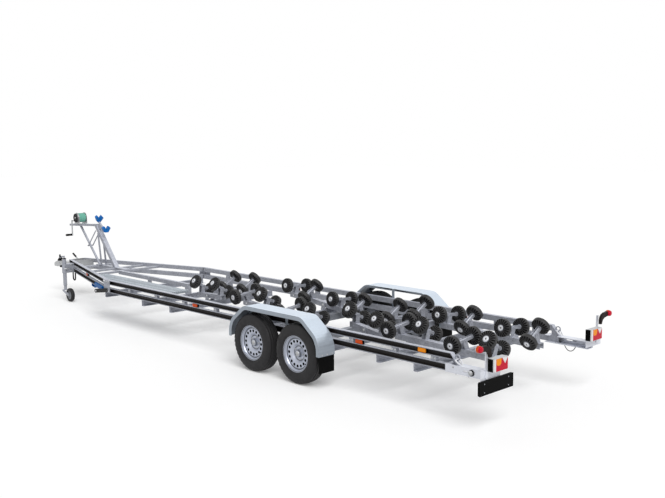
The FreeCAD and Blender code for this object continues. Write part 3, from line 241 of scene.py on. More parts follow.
def cable(name, points, radius, material, body):
    """A tube on a smooth curve through the neighbourhood of a few points."""
    data = bpy.data.curves.new(name, "CURVE")
    data.dimensions = "3D"
    data.bevel_depth = radius
    data.bevel_resolution = 3
    data.resolution_u = 10
    data.use_fill_caps = True
    spline = data.splines.new("NURBS")
    spline.points.add(len(points) - 1)
    for point, place in zip(spline.points, points):
        point.co = (*place, 1)
    spline.order_u = 3
    spline.use_endpoint_u = True
    return placed(name, data, material, body)


def softened(node, material, body, width):
    """A copy of a CAD node with rounded edges, which stands for that node."""
    work = bmesh.new()
    work.from_mesh(frame["nodes"][node].data)
    bmesh.ops.remove_doubles(work, verts=work.verts, dist=1e-5)
    bmesh.ops.dissolve_limit(work, angle_limit=math.radians(1), verts=work.verts, edges=work.edges)
    sharp = [e for e in work.edges if len(e.link_faces) == 2 and e.calc_face_angle() > math.radians(20)]
    bmesh.ops.bevel(work, geom=sharp, offset=width, segments=2, profile=0.6, affect="EDGES",
                    clamp_overlap=True)
    mesh = bpy.data.meshes.new(node + "_soft")
    work.to_mesh(mesh)
    work.free()
    piece = placed(node + "_soft", mesh, material, body)
    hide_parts(node)


MIRROR = Matrix.Diagonal((-1, 1, 1, 1))
SIDES = (Matrix.Identity(4), MIRROR)


def both_sides(part):
    """A shape of the right-hand side with its mirror on the left."""
    shape = Shape()
    for place in SIDES:
        shape.take(part, place)
    return shape


# Stands a plate upright: local XY is the plane seen from behind, and local Z points to the rear
SEEN_FROM_BEHIND = Matrix(((1, 0, 0), (0, 0, -1), (0, 1, 0))).to_4x4()


# Materials

class Finish:
    """A node tree round one Principled shader, with helpers for its few patterns."""

    def __init__(self, name, color, roughness, metallic=0.0):
        self.material = bpy.data.materials.new(name)
        self.material.use_nodes = True
        self.tree = self.material.node_tree
        self.shader = self.tree.nodes["Principled BSDF"]
        self.shader.inputs["Base Color"].default_value = (*color, 1)
        self.shader.inputs["Roughness"].default_value = roughness
        self.shader.inputs["Metallic"].default_value = metallic
        self.color = color
        self.place = self.node("ShaderNodeTexCoord").outputs["Object"]

    def node(self, kind, **values):
        node = self.tree.nodes.new(kind)
        for key, value in values.items():
            setattr(node, key, value)
        return node

    def join(self, source, target):
        self.tree.links.new(source, target)

    def axes(self):
        """The place on the object, split into its X, Y and Z."""
        node = self.node("ShaderNodeSeparateXYZ")
        self.join(self.place, node.inputs["Vector"])
        return node.outputs

    def noise(self, scale, detail=4.0, roughness=0.55):
        node = self.node("ShaderNodeTexNoise")
        node.inputs["Scale"].default_value = scale
        node.inputs["Detail"].default_value = detail
        node.inputs["Roughness"].default_value = roughness
        self.join(self.place, node.inputs["Vector"])
        return node.outputs["Fac"]

    def cells(self, scale):
        node = self.node("ShaderNodeTexVoronoi")
        node.inputs["Scale"].default_value = scale
        self.join(self.place, node.inputs["Vector"])
        return node

    def span(self, source, from_low, from_high, to_low, to_high):
        node = self.node("ShaderNodeMapRange")
        node.inputs["From Min"].default_value = from_low
        node.inputs["From Max"].default_value = from_high
        node.inputs["To Min"].default_value = to_low
        node.inputs["To Max"].default_value = to_high
        self.join(source, node.inputs["Value"])
        return node.outputs["Result"]

    def math(self, operation, first, second=0.0):
        node = self.node("ShaderNodeMath", operation=operation)
        for socket, value in zip(node.inputs, (first, second)):
            if isinstance(value, (int, float)):
                socket.default_value = value
            else:
                self.join(value, socket)
        return node.outputs["Value"]

    def mix(self, factor, first, second, blend="MIX"):
        node = self.node("ShaderNodeMix", data_type="RGBA", blend_type=blend)
        for socket, value in ((node.inputs[0], factor), (node.inputs[6], first), (node.inputs[7], second)):
            if isinstance(value, (int, float)):
                socket.default_value = value
            elif isinstance(value, tuple):
                socket.default_value = (*value, 1)
            else:
                self.join(value, socket)
        return node.outputs[2]

    def shades(self, factor, dark=0.85, light=1.1):
        """The base colour from darker to lighter as factor goes from 0 to 1."""
        lighter = tuple(min(1, c * light) for c in self.color)
        return self.mix(factor, tuple(c * dark for c in self.color), lighter)

    def bump(self, height, distance, strength=1.0):
        node = self.node("ShaderNodeBump")
        node.inputs["Distance"].default_value = distance
        node.inputs["Strength"].default_value = strength
        self.join(height, node.inputs["Height"])
        self.join(node.outputs["Normal"], self.shader.inputs["Normal"])

    def set_color(self, source):
        self.join(source, self.shader.inputs["Base Color"])

    def set_roughness(self, source):
        self.join(source, self.shader.inputs["Roughness"])

    def set(self, name, value):
        self.shader.inputs[name].default_value = value
        return self


def zinc(name, color, roughness, metallic, spangle=70, contrast=0.16, stains=0.10, grain=0.35,
         sky=(0.85, 1.45), masks=()):
    """Hot-dip galvanised steel: spangle of zinc crystals, soft stains and fine grain.
    Faces that look up get a painted highlight, paler than the webs; sky gives the share of the colour on
    upright and lower faces and on faces that look up. Each of the masks is a function that gives a share, and
    the colour that it brings in."""
    finish = Finish(name, color, roughness, metallic)
    finish.set("Specular IOR Level", 0.2)
    crystals = finish.cells(spangle)
    separate = finish.node("ShaderNodeSeparateColor")
    finish.join(crystals.outputs["Color"], separate.inputs["Color"])
    tone = finish.span(separate.outputs["Red"], 0, 1, 1 - contrast, 1 + contrast / 2)
    stain = finish.span(finish.noise(2.6, 6, 0.6), 0.35, 0.7, 1 - stains, 1 + stains / 2)
    # Spangle tone and stains, times painted light: faces that look up lighter, upright and lower faces darker
    value = finish.math("MULTIPLY", finish.math("MULTIPLY", tone, stain), painted_top_light(finish, *sky))
    spread = finish.node("ShaderNodeCombineColor")
    for channel in ("Red", "Green", "Blue"):
        finish.join(value, spread.inputs[channel])
    tinted = finish.mix(1.0, color, spread.outputs["Color"], "MULTIPLY")
    for mask, dark in masks:
        share = mask(finish)
        tinted = finish.mix(share, tinted, dark)
        finish.join(finish.span(share, 0, 1, metallic, 0), finish.shader.inputs["Metallic"])
    finish.set_color(tinted)
    smoothest = roughness - contrast / 2
    finish.set_roughness(finish.span(separate.outputs["Green"], 0, 1, smoothest, roughness + contrast))
    finish.bump(finish.noise(180, 3), 0.0006, grain)
    return finish.material


def painted_top_light(finish, side, top):
    """Painted light: the share of the base colour on upright and lower faces, rising to top on faces that
    look up.
    """
    axes = finish.node("ShaderNodeSeparateXYZ")
    finish.join(finish.node("ShaderNodeNewGeometry").outputs["Normal"], axes.inputs["Vector"])
    return finish.span(axes.outputs["Z"], -0.1, 1, side, top)


GROOVE_PITCH = 0.032


def grooves(finish):
    """The pressed grooves that run along the plank."""
    wave = finish.math("SINE", finish.math("MULTIPLY", finish.axes()["X"], TAU / GROOVE_PITCH))
    return finish.span(wave, 0.45, 0.8, 0, 1)


def outboard(edge, inward=False):
    """A mask that is 1 farther from the centre plane than edge, or nearer with inward."""
    def mask(finish):
        across = finish.math("ABSOLUTE", finish.axes()["X"])
        return finish.span(across, edge, edge + 0.001, *((1, 0) if inward else (0, 1)))
    return mask


RING_SOFT = 0.003


def wheel_ring(inner, outer):
    """A mask that is 1 between two radii from the nearest road wheel's centre."""
    half = (WHEELS["front_left"].y - WHEELS["rear_left"].y) / 2

    def mask(finish):
        axes = finish.axes()
        from_middle = finish.math("ABSOLUTE", finish.math("SUBTRACT", axes["Y"], MID_Y))
        along = finish.math("SUBTRACT", from_middle, half)
        up = finish.math("SUBTRACT", axes["Z"], WHEELS["front_left"].z)
        squares = finish.math("ADD", finish.math("MULTIPLY", along, along), finish.math("MULTIPLY", up, up))
        radius = finish.math("SQRT", squares)
        return finish.math("MULTIPLY", finish.span(radius, inner - RING_SOFT, inner, 0, 1),
                           finish.span(radius, outer, outer + RING_SOFT, 1, 0))
    return mask


def channel_mask(finish):
    """1 inside the rails' open channels, which lie in deep shade, and 0 on every outer face."""
    axes = finish.axes()
    across = finish.math("ABSOLUTE", axes["X"])
    ahead = finish.math("MAXIMUM", finish.math("SUBTRACT", axes["Y"], BEND_Y), 0.0)
    outer = finish.math("SUBTRACT", RAIL_X, finish.math("MULTIPLY", ahead, ARM_SLOPE))
    depth = finish.math("SUBTRACT", outer, across)
    deep = finish.span(depth, 0.004, 0.022, 0.0, 1.0)
    inside = finish.math("LESS_THAN", depth, 0.0478)
    margin = CHANNEL_WALL - 0.0008
    bands = []
    for bottom, top in ((LOWER_LOW, LOWER_TOP), (UPPER_LOW, RAIL_TOP)):
        bands.append(finish.math("MULTIPLY", finish.math("GREATER_THAN", axes["Z"], bottom + margin),
                                 finish.math("LESS_THAN", axes["Z"], top - margin)))
    return finish.math("MULTIPLY", finish.math("MULTIPLY", deep, inside), finish.math("ADD", *bands))


def rubber(name, color, roughness, specular=0.12):
    finish = Finish(name, color, roughness)
    finish.set("Specular IOR Level", specular)
    finish.set_color(finish.shades(finish.noise(9, 5), 0.7, 1.5))
    finish.set_roughness(finish.span(finish.noise(30, 3), 0.3, 0.7, roughness - 0.08, roughness + 0.1))
    finish.bump(finish.noise(220, 3), 0.0005, 0.4)
    return finish.material


def paint(name, color, roughness, metallic=0.0, coat=0.0, specular=0.5, masks=()):
    finish = Finish(name, color, roughness, metallic)
    finish.set("Specular IOR Level", specular)
    finish.set("Coat Weight", coat)
    finish.set("Coat Roughness", 0.15)
    shade = finish.shades(finish.noise(14, 4), 0.93, 1.05)
    for mask, dark in masks:
        shade = finish.mix(mask(finish), shade, dark)
    finish.set_color(shade)
    finish.bump(finish.noise(400, 2), 0.0002, 0.25)
    return finish.material


PRISM_PITCH = 1 / 75


def lens(name, color):
    """Moulded lamp glass with a fine prism pattern in its surface."""
    finish = Finish(name, color, 0.2)
    finish.set("Specular IOR Level", 0.12)
    axes = finish.axes()
    waves = []
    for axis in ("X", "Z"):
        waves.append(finish.math("SINE", finish.math("MULTIPLY", axes[axis], TAU / PRISM_PITCH)))
    grid = finish.math("MULTIPLY", *waves)
    finish.set_color(finish.shades(finish.span(grid, -1, 1, 0, 1), 0.72, 1.35))
    finish.bump(grid, 0.0008, 0.35)
    return finish.material


def webbing(name, color):
    finish = Finish(name, color, 0.75)
    finish.set("Sheen Weight", 0.3)
    weave = finish.noise(900, 2)
    finish.set_color(finish.shades(weave, 0.75, 1.15))
    finish.bump(weave, 0.0006, 0.6)
    return finish.material


DISH_X = abs(WHEELS["front_left"].x) + 0.010
AXLE_SHADE_X = 0.93

STEEL = (0.40, 0.415, 0.465)
CHANNEL_SHADE = (channel_mask, (0.024, 0.020, 0.019))
OUTER_FACE_SHADE = (outboard(PLATE_FACE + 0.0003), (0.004, 0.004, 0.004))
HUB_SHADE = (outboard(AXLE_SHADE_X), (0.02, 0.02, 0.022))
GROOVE_SHADE = (grooves, (0.20, 0.23, 0.26))
ZINC = zinc("galvanised", STEEL, 0.45, 0.4)
RAIL_ZINC = zinc("galvanised_rails", STEEL, 0.45, 0.4, masks=(CHANNEL_SHADE,))
PLATE_ZINC = zinc("galvanised_plates", STEEL, 0.45, 0.4, masks=(OUTER_FACE_SHADE,))
DULL_ZINC = zinc("galvanised_dull", (0.28, 0.295, 0.33), 0.55, 0.35, masks=(HUB_SHADE,))
ROLLED = {"spangle": 60, "grain": 0.1}
FINE = {"spangle": 400, "grain": 0.15, "contrast": 0.05}
# sky sets the painted highlight on faces that look up, strongest on the fenders
SHEET = zinc("fender_sheet", (0.40, 0.45, 0.51), 0.36, 0.45, contrast=0.03, stains=0.05, sky=(0.68, 1.75),
             **ROLLED)
ARM_SHEET = zinc("arm_sheet", (0.66, 0.68, 0.74), 0.36, 0.35, contrast=0.04, stains=0.06, sky=(1.0, 1.3),
                 **ROLLED)
PLANK = zinc("plank_sheet", (0.40, 0.44, 0.48), 0.4, 0.35, contrast=0.03, stains=0.06,
             masks=(GROOVE_SHADE,), **ROLLED)
PLATED = zinc("plated", (0.55, 0.56, 0.57), 0.35, 0.6, stains=0.05, sky=(0.8, 1.3), **FINE)
HUB_ZINC = zinc("hub_zinc", (0.70, 0.71, 0.74), 0.4, 0.3, stains=0.08, sky=(1.0, 1.1), **FINE)
TYRE_RUBBER = rubber("tyre_rubber", (0.016, 0.0155, 0.0165), 0.55, specular=0.22)
ROLLER_RUBBER = rubber("roller_rubber", (0.024, 0.0235, 0.0245), 0.5, specular=0.3)
# Painted shade: the notches' faces, darker than the roller's rubber
NOTCH_SHADE_RUBBER = rubber("notch_painted_shade", (0.003, 0.003, 0.003), 0.7, specular=0.03)
FLAP_RUBBER = rubber("flap_rubber", (0.003, 0.003, 0.003), 0.55, specular=0.03)
ARM_RUBBER = rubber("marker_rubber", (0.010, 0.006, 0.006), 0.5)
RIM_SHADES = (
    (outboard(DISH_X, inward=True), (0.008, 0.008, 0.009)),
    (wheel_ring(0.158, 0.169), (0.11, 0.12, 0.14)),
    (wheel_ring(0.072, 0.080), (0.14, 0.15, 0.17)),
    (wheel_ring(0.034, 0.040), (0.14, 0.15, 0.17)),
    (wheel_ring(0.186, 0.190), (0.16, 0.17, 0.20)),
)
RIM_PAINT = paint("rim_paint", (0.45, 0.48, 0.56), 0.34, 0.55, 0.2, masks=RIM_SHADES)
BLACK = paint("black_plastic", (0.003, 0.003, 0.003), 0.45, specular=0.03)
BLACK_STEEL = paint("black_steel", (0.010, 0.010, 0.011), 0.45, 0.1, specular=0.15)
BLUE = paint("blue_urethane", (0.002, 0.13, 0.44), 0.42, specular=0.2)
DARK_BLUE = paint("chock_blue", (0.003, 0.10, 0.33), 0.5, specular=0.15)
LENS_RED = lens("lens_red", (0.48, 0.003, 0.022))
LENS_ORANGE = lens("lens_orange", (0.55, 0.065, 0.008))
LENS_AMBER = lens("lens_amber", (0.80, 0.24, 0.008))
LENS_CLEAR = lens("lens_clear", (0.66, 0.66, 0.67))
STRAP = webbing("strap", (0.13, 0.42, 0.32))
GREY_PLASTIC = paint("grey_plastic", (0.22, 0.23, 0.25), 0.45)
# Painted reflection: the pale strip on each lamp's top stands for the sky seen in it
LAMP_TOP_REFLECTION = paint("lamp_top_painted_reflection", (0.55, 0.56, 0.58), 0.5)
# Painted shade: a black for the discs that stand for the dark seen through the rims' vents
PAINTED_VENT_SHADE = paint("vent_shade", (0.002, 0.002, 0.002), 0.8, specular=0.0)

NODE_FINISHES = {
    "upper_rails": RAIL_ZINC, "lower_rails": RAIL_ZINC, "rail_plates": PLATE_ZINC, "walkway": PLANK,
    "axles": DULL_ZINC, "fenders": SHEET, "coupling": PLATED, "handbrake": PLATED, "winch": PLATED,
    "light_arms": ARM_SHEET, "plate_board": BLACK, "wheel_chock": DARK_BLUE,
}


def dress_nodes():
    """Every node that isn't named above or a rim is plain galvanised steel."""
    for name, node in frame["nodes"].items():
        finish = RIM_PAINT if name.startswith("rim_") else NODE_FINISHES.get(name, ZINC)
        node.data.materials.clear()
        node.data.materials.append(finish)


# Road wheels

# Half of a tyre's section, as (across, radius): bead, side wall, shoulder and two grooves
TYRE_SIDE = ((0.0680, 0.1786), (0.0745, 0.1865), (0.0780, 0.1960), (0.0805, 0.1975), (0.0815, 0.2010),
             (0.0820, 0.2070), (0.0838, 0.2170), (0.0860, 0.2185), (0.0866, 0.2215), (0.0868, 0.2400),
             (0.0874, 0.2580), (0.0862, 0.2760), (0.0830, 0.2930), (0.0780, 0.3060), (0.0725, 0.3145),
             (0.0640, 0.3190), (0.0480, 0.3218), (0.0465, 0.3135), (0.0400, 0.3135), (0.0385, 0.3230),
             (0.0160, 0.3247), (0.0145, 0.3165), (0.0080, 0.3165), (0.0065, 0.3250))
TYRE_STEPS = 120
SHOULDER_FROM, SHOULDER_TO = 12, 14
SIPE_DEPTH = 0.006
VENT_COUNT = 16
VENT_CIRCLE = 0.133
VENT_FACE = 0.048
VENT_DISC = ((0.0010, 0.0001), (0.0010, 0.0150), (0.0002, 0.0160))
DISH_FACE = 0.018
NUT_COUNT = 5
NUT_CIRCLE = 0.062
VALVE_CIRCLE = 0.158
VALVE_FACE = 0.030
VALVE_TURN = math.radians(215)


def tread(index, profile):
    """Every third ring cuts the shoulder blocks apart."""
    if index % 3:
        return profile
    count = len(TYRE_SIDE)
    cut = set(range(SHOULDER_FROM, SHOULDER_TO + 1))
    cut |= {2 * count - 1 - k for k in cut}
    return [(a, r - SIPE_DEPTH) if k in cut else (a, r) for k, (a, r) in enumerate(profile)]


def wheel_face(centre, reach=0.0, radius=0.0, turn=0.0):
    """The outward-facing place on a wheel, reach outboard of its middle and turned round its centre."""
    out = math.copysign(1, centre.x)
    at = centre + Vector((out * reach, radius * math.cos(turn), radius * math.sin(turn)))
    return facing(at, (out, 0, 0))


def road_wheels():
    """The treaded tyre, dark discs of painted shade over the vents, the nuts and hub cap, and the valve of
    each wheel.
    """
    profile = mirrored(TYRE_SIDE)
    for name, centre in WHEELS.items():
        body = "wheel_" + name
        rubber_ring = lathe(profile, TYRE_STEPS, wheel_face(centre), tread, closed=True)
        tyre = rubber_ring.build("tyre_tread_" + name, TYRE_RUBBER, body, "tyre")
        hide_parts("tyre_" + name)
        hardware, vents = Shape(), Shape()
        for k in range(NUT_COUNT):
            place = wheel_face(centre, DISH_FACE, NUT_CIRCLE, TAU * (k + 0.5) / NUT_COUNT)
            hardware.take(bolt_at(place, 0.0085, 0.012, washer=False))
        # A dark disc over each vent, painted shade for the dark seen through the hole
        for k in range(VENT_COUNT):
            place = wheel_face(centre, VENT_FACE, VENT_CIRCLE, TAU * k / VENT_COUNT)
            vents.take(lathe(VENT_DISC, 20, place))
        vents.build("wheel_vent_shades_" + name, PAINTED_VENT_SHADE, body, "rim")
        hardware.take(disc_ends(0.026, 0.036, 0.026, 0.004, 32, wheel_face(centre, DISH_FACE)))
        hardware.build("wheel_bolts_" + name, PLATED, body, "rim")
        stem = wheel_face(centre, VALVE_FACE, VALVE_CIRCLE, VALVE_TURN)
        disc_ends(0, 0.030, 0.0055, 0.002, 12, stem).build("valve_" + name, BLACK, body, "tyre")


# Rollers

ROLLER_RADIUS = 0.093
ROLLER_HALF = 0.033
ROLLER_CHAMFER = 0.014
NOTCHES = 20
RINGS_PER_NOTCH = 4
NOTCH_DEPTH = 0.009
ROLLER_JOINTS = {name[:-len("_spin")]: joint for name, joint in JOINTS.items()
                 if name.endswith("_spin") and "cradle" in name}


def spindle_place(node, way, reach=0.0):
    """The outward-facing place at one roller of a pair, reach beyond the roller's middle."""
    axis = Vector(ROLLER_JOINTS[node]["axis"])
    spacing = 0.330 if "_level_" in node else 0.250
    return facing(Vector(ROLLER_JOINTS[node]["pos_m"]) + axis * way * (spacing / 2 + reach), axis * way)


def roller_side():
    """Half of a roller's section, from the bore out to the middle of its rim."""
    half, radius, shoulder = ROLLER_HALF, ROLLER_RADIUS, ROLLER_RADIUS - ROLLER_CHAMFER
    return [(half - 0.004, 0.0126), (half - 0.004, 0.036), (half - 0.001, 0.040), (half, 0.046),
            (half, shoulder - 0.016), (half - 0.001, shoulder - 0.006), (half - 0.006, shoulder + 0.006),
            (half - 0.0125, radius - 0.0015), (half - 0.019, radius)]


def in_notch(k, count):
    """Whether a point of the section lies on the shoulder that the notches cut."""
    return 4 <= min(k, count - 1 - k) <= 6


def notched(index, profile):
    """Cuts a notch into both shoulders on one ring in four."""
    if index % RINGS_PER_NOTCH:
        return profile
    return [(a - math.copysign(NOTCH_DEPTH, a), r) if in_notch(k, len(profile)) else (a, r)
            for k, (a, r) in enumerate(profile)]


def rollers():
    """The notched rubber of each pair, with the notches' faces in a piece of their own, darker with painted
    shade.
    """
    profile = mirrored(roller_side())
    one = lathe(profile, NOTCHES * RINGS_PER_NOTCH, change=notched, closed=True)
    count = len(profile)
    plain, dark = Shape(), Shape()
    for shape in (plain, dark):
        shape.points = list(one.points)
    for face in one.faces:
        cut = any(index // count % RINGS_PER_NOTCH == 0 and in_notch(index % count, count) for index in face)
        target = dark if cut else plain
        target.faces.append(face)
        target.smooth.append(True)
    for node in ROLLER_JOINTS:
        pair, notches = Shape(), Shape()
        for way in (1, -1):
            place = spindle_place(node, way)
            pair.take(plain, place)
            notches.take(dark, place)
        piece = pair.build(node + "_rubber", ROLLER_RUBBER, node, "rubber")
        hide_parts(node)
        notches.build(node + "_notches", NOTCH_SHADE_RUBBER, node, "rubber")


COLLAR_FACE = ROLLER_HALF + 0.0055
COLLAR = ((0, 0.0270), (0.0035, 0.0255), (0.0048, 0.0220), (0.0052, 0.0090), (0.0020, 0.0075),
          (0.0020, 0.0070))
SOCKET = ((0.0024, 0.0074), (0.0024, 0.0001))


def spindle_ends():
    """The bright collar and dark socket in the end of each spindle, on the cradle that carries it."""
    for cradle in [node for node in frame["nodes"] if f"{node}_rock" in JOINTS]:
        collars, sockets = Shape(), Shape()
        for node in ROLLER_JOINTS:
            if node.startswith(cradle + "_"):
                for way in (1, -1):
                    end = spindle_place(node, way, COLLAR_FACE)
                    collars.take(lathe(COLLAR, 24, end))
                    sockets.take(lathe(SOCKET, 16, end))
        collars.build(cradle + "_collars", HUB_ZINC, cradle, "galvanised")
        sockets.build(cradle + "_sockets", BLACK_STEEL, cradle, "galvanised")


# Rear lamps, markers and the plate's board

LAMP_LOW = Vector((0.706, CARRIER_Y - 0.0697, 0.545))
LAMP_HIGH = Vector((0.913, CARRIER_Y - 0.0003, 0.661))
LENS_DEPTH = 0.014
LENS_INSET = 0.0015
MARKER_HEAD = Vector((1.083, CARRIER_Y - 0.0345, 0.775))
MARKER_RADIUS = 0.031


# Windows in the red lens, their outlines as shares of the lamp's width and height
LENS_WINDOWS = (
    ("white_strip", LENS_CLEAR, ((0.0, 0.02), (0.14, 0.02), (0.14, 0.98), (0.0, 0.98))),
    ("amber_window", LENS_AMBER, ((0.17, 0.58), (0.24, 0.46), (0.40, 0.44), (0.50, 0.58), (0.52, 0.97),
                                  (0.17, 0.97))),
    ("clear_triangle", LENS_CLEAR, ((0.78, 0.50), (0.985, 0.97), (0.58, 0.97))),
)
WINDOW_DEPTH = LENS_DEPTH * 0.9


def rear_lamps():
    """Two lamps: black housing, red lens with its windows, and the pale top edge, a painted reflection of the
    sky.
    """
    width, height = LAMP_HIGH.x - LAMP_LOW.x, LAMP_HIGH.z - LAMP_LOW.z
    front_of_lens = LAMP_LOW.y + LENS_DEPTH
    housings, red, top_reflections = Shape(), Shape(), Shape()
    windows = {name: Shape() for name, _, _ in LENS_WINDOWS}
    for left in (-LAMP_HIGH.x, LAMP_LOW.x):
        housings.take(box((left, front_of_lens - 0.002, LAMP_LOW.z),
                          (left + width, LAMP_HIGH.y, LAMP_HIGH.z - 0.002), 0.005))
        red.take(box((left + 0.003, LAMP_LOW.y + LENS_INSET, LAMP_LOW.z + 0.002),
                     (left + width - 0.002, front_of_lens, LAMP_HIGH.z - 0.003), 0.004))
        # A pale strip on the housing's top, a painted reflection of the sky
        top_reflections.take(box((left + 0.004, LAMP_LOW.y + 0.003, LAMP_HIGH.z - 0.0035),
                      (left + width - 0.004, LAMP_HIGH.y - 0.004, LAMP_HIGH.z), 0.0012))
        place = Matrix.Translation((left, LAMP_LOW.y + WINDOW_DEPTH, LAMP_LOW.z)) @ SEEN_FROM_BEHIND
        for name, _, outline in LENS_WINDOWS:
            points = [(u * width, v * height) for u, v in outline]
            windows[name].take(bevelled(points, WINDOW_DEPTH, 0.0012, place))
    piece = housings.build("lamp_housings", BLACK, "frame", "lamp")
    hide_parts("lamps")
    red.build("lamp_lenses_red", LENS_RED, "frame", "lamp")
    top_reflections.build("lamp_top_reflections", LAMP_TOP_REFLECTION, "frame", "lamp")
    for name, material, _ in LENS_WINDOWS:
        windows[name].build("lamp_" + name, material, "frame", "lamp")


def outline_markers():
    """The rubber arms with their round heads, red to the rear and clear to the front."""
    arms, rings, white, red = Shape(), Shape(), Shape(), Shape()
    outline = [(0.917, 0.684), (0.944, 0.683), (0.950, 0.704), (0.962, 0.726), (0.995, 0.742), (1.062, 0.752),
               (1.062, 0.798), (0.985, 0.792), (0.948, 0.778), (0.926, 0.756), (0.917, 0.728)]
    upright = Matrix.Translation((0, MARKER_HEAD.y + 0.012, 0)) @ SEEN_FROM_BEHIND
    ring = [(-0.014, 0.0001), (-0.014, MARKER_RADIUS - 0.002), (-0.012, MARKER_RADIUS),
            (0.008, MARKER_RADIUS), (0.011, MARKER_RADIUS - 0.002), (0.012, 0.0001)]
    for place in SIDES:
        arms.take(bevelled(outline, 0.026, 0.005, place @ upright))
        hub = place @ facing(MARKER_HEAD, (0, -1, 0))
        rings.take(lathe(ring, 36, hub))
        for shape, way, radius in ((red, 1, 0.029), (white, -1, 0.024)):
            profile = [(way * 0.010, radius), (way * 0.022, radius - 0.001), (way * 0.030, radius - 0.006),
                       (way * 0.0335, radius - 0.015), (way * 0.0340, 0.0001)]
            shape.take(lathe(profile, 36, hub))
    arms.build("marker_arms", ARM_RUBBER, "frame", "lamp")
    rings.build("marker_rings", LENS_ORANGE, "frame", "lamp")
    red.build("marker_lenses_red", LENS_RED, "frame", "lamp")
    white.build("marker_lenses_clear", LENS_CLEAR, "frame", "lamp")


MARKER_HALF = 0.048
SLOT_STATIONS = (1.750, -1.090)
CHANNEL_STATION = -1.911
DRAWBAR_STATION = NOSE_Y - 1.244


def side_marker(base, glass, centre, tall, place):
    """One side marker: a black base and a bulged lens, tall being half its height."""
    size = Vector((0, MARKER_HALF, tall))
    lens_size = size - Vector((0, 0.003, 0.004))
    base.take(box(centre - size - Vector((0.036, 0, 0)), centre + size - Vector((0.012, 0, 0)), 0.002, place))
    glass.take(box(centre - lens_size - Vector((0.014, 0, 0)), centre + lens_size, 0.005, place))


def side_markers():
    """Markers in the slot and the upper channel of both rails, and one in the left drawbar arm's slot."""
    base, orange, amber = Shape(), Shape(), Shape()
    slot_half = (UPPER_LOW - LOWER_TOP) / 2
    channel_half = (RAIL_TOP - UPPER_LOW) / 2 - CHANNEL_WALL - 0.0005
    rows = [(station, SLOT_Z, slot_half) for station in SLOT_STATIONS]
    rows.append((CHANNEL_STATION, (RAIL_TOP + UPPER_LOW) / 2, channel_half))
    for station, height, tall in rows:
        for place in SIDES:
            glass = amber if place is MIRROR and station == CHANNEL_STATION else orange
            side_marker(base, glass, Vector((RAIL_X - 0.002, MID_Y + station, height)), tall, place)
    at = Vector((RAIL_X - ARM_SLOPE * (DRAWBAR_STATION - BEND_Y), DRAWBAR_STATION, SLOT_Z))
    turned = MIRROR @ Matrix.Translation(at) @ Matrix.Rotation(ARM_ANGLE, 4, "Z") @ Matrix.Translation(-at)
    side_marker(base, orange, at - Vector((0.004, 0, 0)), slot_half, turned)
    base.build("side_marker_bases", BLACK, "frame", "lamp")
    orange.build("side_marker_lenses", LENS_ORANGE, "frame", "lamp")
    amber.build("side_marker_amber", LENS_AMBER, "frame", "lamp")


SLEEVE_X = 0.815
SLACK_Y = MID_Y - 2.470
SLACK_Z = LOWER_LOW - 0.0106
SLACK_BEND = 0.056

LOOP_Y = NOSE_Y + 0.145

# Half of each route, from one end to its lowest point, as (ahead, height).
# The slack's are in bends about its middle, and the loop's are in metres.
SLACK = ((-1.6, 0), (-1.1, 0), (-1, -0.4), (-0.4, -1.02))
LOOP = ((-0.010, 0.4318), (-0.040, 0.4278), (-0.040, 0.3718), (-0.040, 0.2695), (-0.018, 0.2395))


def cable_loops():
    """The slack of the lamp's cable under the right sleeve, and the breakaway loop under the housing."""
    half = [(u * SLACK_BEND, SLACK_Z + w * SLACK_BEND) for u, w in SLACK]
    cable("lamp_cable_loop", [(SLEEVE_X, SLACK_Y + u, z) for u, z in mirrored(half)], 0.004, BLACK,
          "frame")
    cable("breakaway_loop", [(0, LOOP_Y + u, z) for u, z in mirrored(LOOP)], 0.011, BLACK, "frame")


def plate_board():
    """A raised rim round the blank board and its four screws."""
    bottom, top = low("plate_board"), high("plate_board")
    rear = bottom.y
    rim = Shape()
    edge = 0.007
    for left, lower, right, upper in (
            (bottom.x, bottom.z, top.x, bottom.z + edge), (bottom.x, top.z - edge, top.x, top.z),
            (bottom.x, bottom.z, bottom.x + edge, top.z), (top.x - edge, bottom.z, top.x, top.z)):
        rim.take(box((left, rear - 0.003, lower), (right, rear + 0.002, upper), 0.002))
    rim.build("board_rim", BLACK, "frame", "plate")
    screws = Shape()
    for x in (bottom.x + 0.07, top.x - 0.07):
        for z in (bottom.z + 0.025, top.z - 0.025):
            screws.take(disc_ends(0, 0.002, 0.006, 0.0006, 16, facing(Vector((x, rear, z)), (0, -1, 0))))
    screws.build("board_screws", GREY_PLASTIC, "frame", "plate")


# Front end

GEAR_TEETH = 32
RINGS_PER_TOOTH = 4
GEAR = ((-0.098, 0.0001), (-0.098, 0.020), (-0.095, 0.022), (-0.095, 0.058), (-0.098, 0.062),
        (-0.098, 0.0700), (-0.078, 0.0700), (-0.078, 0.030))
CRANK_GRIP = ((0, 0.0001), (0, 0.014), (0.004, 0.0175), (0.030, 0.019), (0.070, 0.0165), (0.100, 0.019),
              (0.106, 0.0001))
STRAP_HALF = 0.058
STRAP_RIDGES = 12


def toothed(index, profile):
    """Lifts the gear's rim on half of each tooth's rings and sinks it on the others."""
    lift = 0.003 if index % RINGS_PER_TOOTH < RINGS_PER_TOOTH / 2 else -0.002
    return [(a, r + lift if r > 0.05 else r) for a, r in profile]


